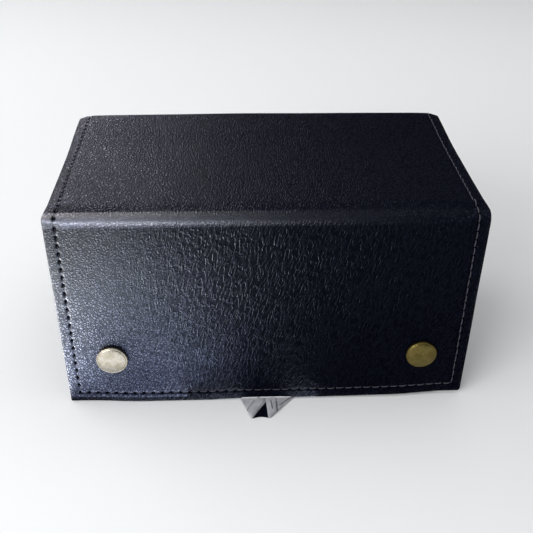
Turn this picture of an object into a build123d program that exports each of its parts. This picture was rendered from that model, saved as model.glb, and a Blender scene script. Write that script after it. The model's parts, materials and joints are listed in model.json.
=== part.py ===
from build123d import *
from math import pi, sqrt
import os

# A folding storage box for glasses: a stitched leather cover in four stiffened panels
# that wraps round two divided trays, which stand mouth to mouth when the box is shut.
# Millimetres. X runs along the box, -Y is the front with the snap flap, +Z is up.
# The origin is the middle of the base panel's underside, on the surface it stands on.

# The closed box
box_width = 196.0
box_depth = 116.5
box_height = 105.0
fold_radius = 4.5
flap_floor_gap = 1.2
base_front_gap = 4.85

# The sheets of every panel, from the outside in
leather = 1.0
stiffener = 2.0
lining = 0.8
panel = leather + stiffener + lining

# Stitched edges and the places where the stiffeners stop
edge_margin = 7.5
fold_allowance = 1.5
edge_corner = 1.6
step_round = 0.5
stitch_inset = 5.0
stitch_pitch = 4.5
stitch_length = 3.3
thread_width = 0.6
thread_height = 0.4
groove_width = 0.9
groove_depth = 0.5

# Folds: leather and lining bent together, stopping short of the panel that turns
fold_sheets = leather + lining
fold_end_gap = 0.4
hinge_offset = pi / 4 * (fold_radius - leather / 2)

# Trays: outside size, and their walls from the outside in
tray_length = 178.0
tray_front = -50.4
tray_back = 52.6
rim_gap = 0.6
skin = 0.8
tray_board = 1.5
suede = 0.6
tray_corner = 1.0
divider_core = 1.4
divider_below_rim = 2.0

# Snap fasteners
snap_spacing = 150.4
snap_height = 26.4
cap_radius = 7.5
cap_height = 3.1
cap_skirt = 1.5
cap_rim = 0.5
post_radius = 1.7
post_hole_radius = 1.8
post_hole_length = 30.0
flare_radius = 2.5
flare_height = 0.5
socket_flange_radius = 5.25
socket_ring_radius = 4.5
socket_bore_radius = 3.4
socket_flange = 0.5
socket_height = 2.0
stud_flange_radius = 4.8
stud_neck_radius = 2.3
stud_head_radius = 3.0
stud_flange = 0.5
stud_neck = 0.5
stud_height = 1.75
post_head_radius = 4.5
post_head = 0.6

# The small folded tab sewn behind the flap's lower edge. Its outlines are points of
# X and distance in front of the flap, and its roots reach back behind the flap.
tab_sheet = 0.4
tab_floor_gap = 0.2
tab_leg_top = 7.0
tab_reach = 15.0
tab_roots = (-14.0, 13.3)
tab_front_edge = [(-14.0, 0.3), (-8.4, tab_reach), (0.9, tab_reach), (13.3, 0.8)]
notch_outline = [(-0.8, 3.3), (-7.6, tab_reach + 1.0), (-0.7, tab_reach + 1.0)]
pleat_height = 0.6
left_pleat_outline = [(-5.6, 2.6), (-1.8, 3.3), (-7.9, 14.6), (-10.0, 9.8)]
right_pleat_outline = [(0.0, 3.3), (3.6, 2.6), (3.8, 10.6), (0.3, 14.1)]
tongue_roots = (-6.5, 5.5)
tongue_front_edge = [(-7.6, 14.7), (-0.1, 14.4)]

# Two places nearer than this count as one
same_place = 0.01

# Worked-out planes of the closed box
half_depth = box_depth / 2
fold_start = half_depth - fold_radius
fold_top = box_height - fold_radius
flap_inside = -half_depth + panel
margin_inside = -half_depth + fold_sheets
rim_low = (box_height - rim_gap) / 2
tray_wall = skin + tray_board + suede

# Each panel's own frame: X along the box, Y away from the fold it starts at, Z inwards
base_frame = Plane(origin=(0, fold_start, 0), x_dir=(-1, 0, 0), z_dir=(0, 0, 1))
back_frame = Plane(origin=(0, half_depth, fold_radius), x_dir=(1, 0, 0), z_dir=(0, -1, 0))
lid_frame = Plane(origin=(0, fold_start, box_height), x_dir=(1, 0, 0), z_dir=(0, 0, -1))
flap_frame = Plane(origin=(0, -half_depth, fold_top), x_dir=(1, 0, 0), z_dir=(0, 1, 0))

base_length = fold_start + half_depth - base_front_gap
back_length = box_height - 2 * fold_radius
lid_length = 2 * fold_start
flap_length = fold_top - flap_floor_gap

os.makedirs("parts", exist_ok=True)
parts = {}


def block(x_range, y_range, z_range):
    """A rectangular block between pairs of coordinates."""
    ranges = (x_range, y_range, z_range)
    middle = [(low + high) / 2 for low, high in ranges]
    size = [high - low for low, high in ranges]
    return Pos(*middle) * Box(*size)


def across(size):
    """A range of the given size, centred on the middle of the box."""
    return (-size / 2, size / 2)


def stiffener_run(length, free_end):
    """Where the stiffener starts and stops along its panel."""
    return (fold_allowance, length - (edge_margin if free_end else fold_allowance))


def round_free_corners(sheet, length, free_end):
    """Round a sheet's two corners at the panel's free edge."""
    if not free_end:
        return sheet
    corners = sheet.edges().filter_by(Axis.Z).filter_by(
        lambda edge: abs(edge.center().Y - length) < same_place
        and abs(abs(edge.center().X) - box_width / 2) < same_place
    )
    return fillet(corners, edge_corner)


def stitch_lines(length, free_end):
    """The stitched lines of a panel as (start, end) points: both sides, then the free edge."""
    side = box_width / 2 - stitch_inset
    last = length - stitch_inset if free_end else length
    lines = [((-side, 0), (-side, last)), ((side, 0), (side, last))]
    if free_end:
        lines.append(((-side, last), (side, last)))
    return lines


def groove(start, end):
    """The shallow furrow that a line of stitches pulls into the leather."""
    (x0, y0), (x1, y1) = start, end
    along_y = abs(y1 - y0) > abs(x1 - x0)
    half = groove_width / 2
    if along_y:
        return block((x0 - half, x0 + half), (y0, y1 + half), (0, groove_depth))
    return block((x0 - half, x1 + half), (y0 - half, y0 + half), (0, groove_depth))


def line_of_stitches(start, end):
    """Separate stitches lying in a groove, evenly spaced along it."""
    (x0, y0), (x1, y1) = start, end
    run = max(abs(x1 - x0), abs(y1 - y0))
    count = int((run - stitch_length) // stitch_pitch)
    first = (run - (count - 1) * stitch_pitch) / 2
    top, bottom = groove_depth - thread_height, groove_depth
    stitches = []
    for number in range(count):
        middle = first + number * stitch_pitch
        along = (middle - stitch_length / 2, middle + stitch_length / 2)
        sides = (-thread_width / 2, thread_width / 2)
        if abs(y1 - y0) > abs(x1 - x0):
            stitch = block(sides, along, (top, bottom))
        else:
            stitch = block(along, sides, (top, bottom))
        stitches.append(Pos(x0, y0, 0) * stitch)
    return stitches


def cover_sheet(length, free_end):
    """Outer leather of a panel, with the furrows of its stitching."""
    sheet = block(across(box_width), (0, length), (0, leather))
    sheet = round_free_corners(sheet, length, free_end)
    for start, end in stitch_lines(length, free_end):
        sheet -= groove(start, end)
    return sheet


def board_sheet(length, free_end):
    """Stiffening board, kept inside the stitching."""
    run = stiffener_run(length, free_end)
    return block(across(box_width - 2 * edge_margin), run, (leather, leather + stiffener))


def lining_sheet(length, free_end):
    """Suede lining: flat along the stitched edges, stepping up over the board."""
    run = stiffener_run(length, free_end)
    flat = block(across(box_width), (0, length), (leather, fold_sheets))
    flat = round_free_corners(flat, length, free_end)
    raised = block(
        across(box_width - 2 * edge_margin + 2 * lining),
        (run[0] - lining, run[1] + lining),
        (leather, panel),
    )
    raised = fillet(raised.edges().group_by(Axis.Z)[-1], step_round)
    return flat + raised - board_sheet(length, free_end)


def stitching(length, free_end):
    """All the stitches of a panel."""
    stitches = []
    for start, end in stitch_lines(length, free_end):
        stitches += line_of_stitches(start, end)
    return stitches


def fold_strip(centre_y, centre_z, y_range, z_range):
    """A quarter-round fold of leather and lining about a line along X, within a window."""
    bend = Cylinder(fold_radius, box_width) - Cylinder(fold_radius - fold_sheets, box_width)
    bend = Pos(0, centre_y, centre_z) * Rot(0, 90, 0) * bend
    return bend & block(across(box_width), y_range, z_range)


def snap_places():
    """The X of the left and right snap."""
    return {"left": -snap_spacing / 2, "right": snap_spacing / 2}


def post_hole(x):
    """A hole for a snap's post, from front to back through whatever stands there."""
    return Pos(x, tray_front, snap_height) * Rot(90, 0, 0) * Cylinder(post_hole_radius, post_hole_length)


def spun(outline):
    """A solid turned about Z from a closed outline of (radius, height)."""
    return revolve(make_face(Plane.XZ * outline), Axis.Z)


def facing_forward(x, y):
    """Stands a part turned about Z so that its height points at the front."""
    return Pos(x, y, snap_height) * Rot(90, 0, 0)


def snap_cap():
    """Domed cap with a straight skirt, in one with the post that holds the socket."""
    dome_edge = (cap_radius - cap_rim, cap_skirt + cap_rim)
    drop = cap_height - dome_edge[1]
    dome = (dome_edge[0]**2 + drop**2) / (2 * drop)
    half_way = dome_edge[0] / 2
    half_height = cap_height - dome + sqrt(dome**2 - half_way**2)
    rim_middle = cap_rim * sqrt(0.5)
    shoulder = (dome_edge[0] + rim_middle, cap_skirt + rim_middle)
    flare_top = -panel - socket_flange
    outline = Wire(
        [
            *ThreePointArc((0, cap_height), (half_way, half_height), dome_edge).edges(),
            *ThreePointArc(dome_edge, shoulder, (cap_radius, cap_skirt)).edges(),
            *Polyline(
                (cap_radius, cap_skirt),
                (cap_radius, 0),
                (post_radius, 0),
                (post_radius, flare_top),
                (flare_radius, flare_top),
                (flare_radius, flare_top - flare_height),
                (0, flare_top - flare_height),
                (0, cap_height),
            ).edges(),
        ]
    )
    return spun(outline)


def snap_socket():
    """Ring that grips the stud, on a flange against the flap's inside."""
    outline = Polyline(
        (post_hole_radius, 0),
        (socket_flange_radius, 0),
        (socket_flange_radius, socket_flange),
        (socket_ring_radius, socket_flange),
        (socket_ring_radius, socket_height - cap_rim),
        (socket_ring_radius - cap_rim, socket_height),
        (socket_bore_radius, socket_height),
        (socket_bore_radius, socket_flange),
        (post_hole_radius, socket_flange),
        close=True,
    )
    return Rot(180, 0, 0) * spun(outline)


def snap_stud():
    """Stud on the tray's front wall: flange, neck and a slightly wider head."""
    head_start = stud_flange + stud_neck
    outline = Polyline(
        (post_hole_radius, 0),
        (stud_flange_radius, 0),
        (stud_flange_radius, stud_flange),
        (stud_neck_radius, stud_flange),
        (stud_neck_radius, head_start),
        (stud_head_radius, head_start),
        (stud_head_radius, stud_height - stud_neck / 2),
        (stud_neck_radius, stud_height),
        (post_hole_radius, stud_height),
        close=True,
    )
    return spun(outline)


def stud_post():
    """Flat-headed post that holds the stud from inside the tray."""
    head = Pos(0, 0, -tray_wall - post_head / 2) * Cylinder(post_head_radius, post_head)
    head = fillet(head.edges().group_by(Axis.Z)[0], post_head / 2)
    reach = tray_wall + stud_height - stud_neck / 2
    shank = Pos(0, 0, -tray_wall + reach / 2) * Cylinder(post_radius, reach)
    return head + shank


def tray_parts():
    """The pieces of a tray that stands on Z = 0 with its mouth up, by name."""
    height = rim_low - panel
    length = across(tray_length)
    depth = (tray_front, tray_back)

    def inset(span, amount):
        return (span[0] + amount, span[1] - amount)

    shell_x, shell_y = inset(length, skin), inset(depth, skin)
    lining_x, lining_y = inset(shell_x, tray_board), inset(shell_y, tray_board)
    room_x, room_y = inset(lining_x, suede), inset(lining_y, suede)
    board_top = height - suede

    outside = block(length, depth, (0, height))
    outside = fillet(outside.edges().filter_by(Axis.Z), tray_corner)
    tray_skin = outside - block(shell_x, shell_y, (0, height))
    shell = block(shell_x, shell_y, (0, board_top)) - block(lining_x, lining_y, (tray_board, board_top))
    lining = (
        block(lining_x, lining_y, (tray_board, height))
        + block(shell_x, shell_y, (board_top, height))
        - block(room_x, room_y, (tray_board + suede, height))
    )

    middle = (tray_front + tray_back) / 2
    core_y = (middle - divider_core / 2, middle + divider_core / 2)
    sleeve_y = (core_y[0] - suede, core_y[1] + suede)
    floor = tray_board + suede
    divider_top = height - divider_below_rim
    core = block(room_x, core_y, (floor, divider_top - suede))
    sleeve = block(room_x, sleeve_y, (floor, divider_top))
    sleeve = fillet(sleeve.edges().group_by(Axis.Z)[-1].filter_by(Axis.X), suede) - core
    return {
        "tray_skin": tray_skin,
        "tray_shell": shell,
        "tray_lining": lining,
        "divider_board": core,
        "divider_sleeve": sleeve,
    }


def tab_outline(points, z_low, z_high):
    """A flat piece on the table, from (x, distance in front of the flap) points."""
    corners = [(x, -half_depth - forward) for x, forward in points]
    sheet = make_face(Polyline(*corners, close=True))
    return Pos(0, 0, z_low) * extrude(sheet, z_high - z_low)


def pull_tab():
    """Folded grey ribbon: a flat fan split by a notch, two pleats on it, and a sewn leg."""
    low, high = tab_floor_gap + tab_sheet, tab_floor_gap + 2 * tab_sheet
    left, right = tab_roots
    behind = -fold_sheets - tab_sheet
    fan = tab_outline([(left, behind), *tab_front_edge, (right, behind)], low, high)
    notch = tab_outline(notch_outline, low, high)
    left_pleat = tab_outline(left_pleat_outline, high, high + pleat_height)
    right_pleat = tab_outline(right_pleat_outline, high, high + pleat_height)
    leg = block(tab_roots, (margin_inside, margin_inside + tab_sheet), (low, tab_leg_top))
    return fan - notch + left_pleat + right_pleat + leg


def pull_tab_tongue():
    """Leather tongue under the ribbon, seen through its notch, sewn on with it."""
    low, high = tab_floor_gap, tab_floor_gap + tab_sheet
    left, right = tongue_roots
    behind = -fold_sheets - 2 * tab_sheet
    sheet = tab_outline([(left, behind), *tongue_front_edge, (right, behind)], low, high)
    leg_y = (margin_inside + tab_sheet, margin_inside + 2 * tab_sheet)
    return sheet + block(tongue_roots, leg_y, (low, tab_leg_top))


# The cover's four panels
panels = {
    "base": (base_frame, base_length, True),
    "back": (back_frame, back_length, False),
    "lid": (lid_frame, lid_length, False),
    "flap": (flap_frame, flap_length, True),
}
for name, (frame, length, free_end) in panels.items():
    parts[name + "_cover"] = frame * cover_sheet(length, free_end)
    parts[name + "_board"] = frame * board_sheet(length, free_end)
    parts[name + "_lining"] = frame * lining_sheet(length, free_end)
    parts[name + "_stitching"] = [frame * stitch for stitch in stitching(length, free_end)]

# The three leather folds, each fixed to one panel and short of the one that turns
parts["bottom_back_fold"] = fold_strip(
    fold_start, fold_radius, (fold_start, half_depth), (0, fold_radius - fold_end_gap)
)
parts["top_back_fold"] = fold_strip(
    fold_start, fold_top, (fold_start + fold_end_gap, half_depth), (fold_top, box_height)
)
parts["top_front_fold"] = fold_strip(
    -fold_start, fold_top, (-half_depth, -fold_start), (fold_top + fold_end_gap, box_height)
)

# The lower tray on the base, and the upper tray mouth down under the lid
for name, piece in tray_parts().items():
    parts["lower_" + name] = Pos(0, 0, panel) * piece
    parts["upper_" + name] = Pos(0, 0, box_height - panel) * mirror(piece, Plane.XY)

# The snaps, with a hole for each post through everything it passes
drilled = ["flap_cover", "flap_board", "flap_lining"]
drilled += ["lower_tray_skin", "lower_tray_shell", "lower_tray_lining"]
for side, x in snap_places().items():
    for name in drilled:
        parts[name] -= post_hole(x)
    parts["snap_cap_" + side] = facing_forward(x, -half_depth) * snap_cap()
    parts["snap_socket_" + side] = facing_forward(x, flap_inside) * snap_socket()
    parts["snap_stud_" + side] = facing_forward(x, tray_front) * snap_stud()
    parts["snap_post_" + side] = facing_forward(x, tray_front) * stud_post()

# The tab under the flap
parts["pull_tab"] = pull_tab()
parts["pull_tab_tongue"] = pull_tab_tongue()

for name, shape in parts.items():
    whole = Compound(children=shape) if isinstance(shape, list) else shape
    export_step(whole, f"parts/{name}.step")

print("fold axes: back", round(fold_start + hinge_offset, 4), round(fold_radius - hinge_offset, 4))
print("fold axes: lid", round(fold_start + hinge_offset, 4), round(fold_top + hinge_offset, 4))
print("fold axes: flap", round(-fold_start - hinge_offset, 4), round(fold_top + hinge_offset, 4))
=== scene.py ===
"""Dresses a glasses storage box: a stitched leather cover wrapped round two divided suede trays."""

import json
import logging
import math
from dataclasses import dataclass
from enum import Enum
from typing import Any, Callable, Iterable, Sequence

import bpy
import numpy as np
from mathutils import Matrix, Vector

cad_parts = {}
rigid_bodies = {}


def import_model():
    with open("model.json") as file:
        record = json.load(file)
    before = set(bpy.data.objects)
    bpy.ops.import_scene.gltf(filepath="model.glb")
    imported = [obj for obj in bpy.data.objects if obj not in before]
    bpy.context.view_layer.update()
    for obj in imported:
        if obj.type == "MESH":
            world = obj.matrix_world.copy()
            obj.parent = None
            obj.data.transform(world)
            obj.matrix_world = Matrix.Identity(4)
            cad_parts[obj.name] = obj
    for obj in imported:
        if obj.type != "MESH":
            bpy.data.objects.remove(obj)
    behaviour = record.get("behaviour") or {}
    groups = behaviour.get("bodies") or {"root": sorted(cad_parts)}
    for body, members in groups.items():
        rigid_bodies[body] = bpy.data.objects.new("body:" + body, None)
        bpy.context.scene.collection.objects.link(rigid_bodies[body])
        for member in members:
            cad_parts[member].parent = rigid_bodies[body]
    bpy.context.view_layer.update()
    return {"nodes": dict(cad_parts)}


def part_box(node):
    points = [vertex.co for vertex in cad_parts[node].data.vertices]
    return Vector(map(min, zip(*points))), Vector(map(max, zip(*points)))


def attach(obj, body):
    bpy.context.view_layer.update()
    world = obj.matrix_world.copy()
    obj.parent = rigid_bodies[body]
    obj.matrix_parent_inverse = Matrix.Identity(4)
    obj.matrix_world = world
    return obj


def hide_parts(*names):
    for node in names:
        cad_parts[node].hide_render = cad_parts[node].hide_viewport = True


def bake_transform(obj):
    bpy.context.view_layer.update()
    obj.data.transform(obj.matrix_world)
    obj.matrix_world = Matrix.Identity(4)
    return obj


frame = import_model()

log = logging.getLogger("glasses_box")

Array = np.ndarray
Pair = tuple[float, float]
Triple = tuple[float, float, float]
Colour = Triple
Stitch = tuple[float, float, float, float]
Sockets = dict[int | str, Any]
Outline = Sequence[Pair]

# Lengths below are millimetres, and become metres where a mesh, lamp or camera is made.
METRE = 0.001
QUARTER = math.pi / 2.0
# What a piece keeps for its finish: its unrolled map, and marks from 0 to 1.
SURFACE_MAP = "surface"
# The wear mark also carries a painted highlight along the pull tab's root roll.
WEAR_AND_HIGHLIGHT = "wear"
# Where shade is painted: needle holes, and the ribbon's creases and shaded strips.
PAINTED_SHADE_MARK = "pressed"
POLISHED = "polished"
# Finishes and pieces that gleam lamps are for.
LEATHERS = ("cover_leather", "tray_leather")
FRONT_FOLD = ("top_front_fold_leather",)
CAPS = ("cap_brass",)


def corners(node: str) -> tuple[Vector, Vector]:
    """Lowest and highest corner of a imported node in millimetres.

    Args:
        node: Name of the node.

    Returns:
        The two corners.
    """
    low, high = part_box(node)
    return low / METRE, high / METRE


def ease(value: Array, start: float, end: float) -> Array:
    """A smooth step from 0 at start to 1 at end.

    Args:
        value: Where to read the step.
        start: Value at which the step leaves 0.
        end: Value at which the step reaches 1. It may be below start.

    Returns:
        The step, with the shape of value.
    """
    share = np.clip((value - start) / (end - start), 0.0, 1.0)
    return share * share * (3.0 - 2.0 * share)


def ripple(a: Array, b: Array, wave: float, seed: float) -> Array:
    """A gentle irregular ripple between -1 and 1, made of three crossed waves.

    Args:
        a: First coordinate in millimetres.
        b: Second coordinate in millimetres.
        wave: Usual distance between crests.
        seed: Shifts the pattern.

    Returns:
        The ripple, with the shape of the coordinates.
    """
    turn = 2.0 * math.pi / wave
    first = np.sin(turn * (a + 0.35 * b) + seed)
    second = np.sin(turn * (0.62 * b - 0.41 * a) * 1.27 + 2.1 * seed)
    third = np.sin(turn * (0.83 * a + 0.77 * b) * 0.71 + 3.7 * seed)
    return (first + second + third) / 3.0


class Mesher:
    """Turns arrays of points and faces into closed, smooth Blender meshes."""

    SHARP_FROM = math.radians(48.0)

    @classmethod
    def build(
        cls,
        name: str,
        points: Array,
        faces: Sequence[Sequence[int]],
        surface: Array | None = None,
        marks: dict[str, Array] | None = None,
    ) -> bpy.types.Object:
        """Makes one piece and turns its faces outwards.

        Args:
            name: Name of the piece.
            points: Vertex places in millimetres, one row each.
            faces: Vertex numbers of each face.
            surface: Place of each vertex on the unrolled sheet, in millimetres.
            marks: Named values of each vertex, from 0 to 1, that its finish reads.

        Returns:
            The new object, linked to the scene.
        """
        mesh = bpy.data.meshes.new(name)
        mesh.from_pydata((points * METRE).tolist(), [], faces)
        if cls.volume(mesh) < 0.0:
            mesh.flip_normals()
        mesh.shade_smooth()
        mesh.set_sharp_from_angle(angle=cls.SHARP_FROM)
        if surface is not None:
            layer = mesh.uv_layers.new(name=SURFACE_MAP)
            corner = np.empty(len(mesh.loops), dtype=np.int32)
            mesh.loops.foreach_get("vertex_index", corner)
            layer.uv.foreach_set("vector", (surface[corner] * METRE).astype(np.float32).ravel())
        for key, values in (marks or {}).items():
            layer = mesh.attributes.new(key, "FLOAT", "POINT")
            layer.data.foreach_set("value", values.astype(np.float32).ravel())
        piece = bpy.data.objects.new(name, mesh)
        bpy.context.scene.collection.objects.link(piece)
        return piece

    @staticmethod
    def volume(mesh: bpy.types.Mesh) -> float:
        """Signed volume of a closed mesh: negative when its faces point inwards.

        Args:
            mesh: The mesh.

        Returns:
            The volume in cubic metres.
        """
        mesh.calc_loop_triangles()
        place = np.empty(len(mesh.vertices) * 3)
        mesh.vertices.foreach_get("co", place)
        place = place.reshape(-1, 3)
        corner = np.empty(len(mesh.loop_triangles) * 3, dtype=np.int32)
        mesh.loop_triangles.foreach_get("vertices", corner)
        a, b, c = (place[corner[k::3]] for k in range(3))
        return float((a * np.cross(b, c)).sum() / 6.0)

    @staticmethod
    def band(rows: int, ring: int, first: int = 0) -> list[tuple[int, int, int, int]]:
        """Quads of a tube: rows rings of ring points each, joined in order.

        Args:
            rows: Number of rings.
            ring: Points in each ring.
            first: Number of the tube's first vertex.

        Returns:
            The faces.
        """
        row, place = np.meshgrid(np.arange(rows - 1), np.arange(ring), indexing="ij")
        here = first + row * ring + place
        beside = first + row * ring + (place + 1) % ring
        quads = np.stack([here, beside, beside + ring, here + ring], axis=-1).reshape(-1, 4)
        return [tuple(quad) for quad in quads.tolist()]


@dataclass(frozen=True)
class Run:
    """One straight or bent run of the cover's outside, seen from the box's side."""

    name: str
    start: float
    length: float
    place: Pair
    heading: float
    radius: float = 0.0

    @property
    def end(self) -> float:
        """Distance along the cover at which the run stops."""
        return self.start + self.length

    def facing(self, along: Array) -> Array:
        """Angle in the (y, z) plane that the outside faces at a distance along the cover.

        Args:
            along: Distance along the cover.

        Returns:
            The angle in radians.
        """
        turned = (along - self.start) / self.radius if self.radius else 0.0 * along
        return self.heading - QUARTER + turned

    def at(self, along: Array, depth: Array) -> tuple[Array, Array]:
        """Place of points on the run.

        Args:
            along: Distance along the cover's outside.
            depth: Depth below the outside.

        Returns:
            Their y and z.
        """
        facing = self.facing(along)
        y, z = self.place
        if self.radius:
            first = self.heading - QUARTER
            y, z = y - self.radius * math.cos(first), z - self.radius * math.sin(first)
            reach = self.radius - depth
            return y + reach * np.cos(facing), z + reach * np.sin(facing)
        travel = along - self.start
        y = y + travel * math.cos(self.heading) - depth * np.cos(facing)
        z = z + travel * math.sin(self.heading) - depth * np.sin(facing)
        return y, z


class Plan:
    """The closed box's main sizes in millimetres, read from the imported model."""

    def __init__(self) -> None:
        """Reads the sizes and lays the cover's runs end to end."""
        lid_low, lid_high = corners("lid_cover")
        back_low, back_high = corners("back_cover")
        board_low, board_high = corners("lid_board")
        lining_low, _ = corners("lid_lining")
        self.half_width = lid_high.x
        self.top = lid_high.z
        self.fold_start = lid_high.y
        self.half_depth = back_high.y
        self.fold_radius = self.half_depth - self.fold_start
        self.base_front = corners("base_cover")[0].y
        self.flap_bottom = corners("flap_cover")[0].z
        self.leather = lid_high.z - lid_low.z
        self.board = board_high.z - board_low.z
        self.panel = lid_high.z - lining_low.z
        self.lining = self.panel - self.leather - self.board
        self.sheets = self.leather + self.lining
        self.board_half_width = board_high.x
        self.fold_setback = lid_high.y - board_high.y
        self.edge_setback = corners("flap_board")[0].z - self.flap_bottom
        self.runs = self._runs(back_low.z, back_high.z)

    def _runs(self, fold_low: float, fold_top: float) -> dict[str, Run]:
        """The cover's runs in order, from the base's front edge to the flap's lower edge.

        Args:
            fold_low: Height at which the bottom back fold ends.
            fold_top: Height at which the top folds start.

        Returns:
            The runs by name.
        """
        quarter = QUARTER * self.fold_radius
        lengths = [
            ("base", self.fold_start - self.base_front, 0.0),
            ("bottom_back_fold", quarter, self.fold_radius),
            ("back", fold_top - fold_low, 0.0),
            ("top_back_fold", quarter, self.fold_radius),
            ("lid", 2.0 * self.fold_start, 0.0),
            ("top_front_fold", quarter, self.fold_radius),
            ("flap", fold_top - self.flap_bottom, 0.0),
        ]
        runs: dict[str, Run] = {}
        start, place, heading = 0.0, (self.base_front, 0.0), 0.0
        for name, length, radius in lengths:
            run = Run(name, start, length, place, heading, radius)
            runs[name] = run
            start = run.end
            y, z = run.at(np.array(start), np.array(0.0))
            place = (float(y), float(z))
            heading += QUARTER if radius else 0.0
        return runs

    @property
    def length(self) -> float:
        """Length of the whole cover along its outside."""
        return self.runs["flap"].end

    def point(self, x: Array, along: Array, depth: Array) -> Array:
        """Places of points on the cover, in millimetres.

        Args:
            x: Distance to the right of the middle.
            along: Distance along the cover from the base's front edge.
            depth: Depth below the outside face.

        Returns:
            One row of x, y and z for each point, in the shape of the coordinates.
        """
        x, along, depth = np.broadcast_arrays(x, along, depth)
        y, z = np.empty(x.shape), np.empty(x.shape)
        for run in self.runs.values():
            first = -np.inf if run.name == "base" else run.start
            last = np.inf if run.name == "flap" else run.end
            here = (along >= first) & (along <= last)
            y[here], z[here] = run.at(along[here], depth[here])
        return np.stack([x, y, z], axis=-1)


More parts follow.
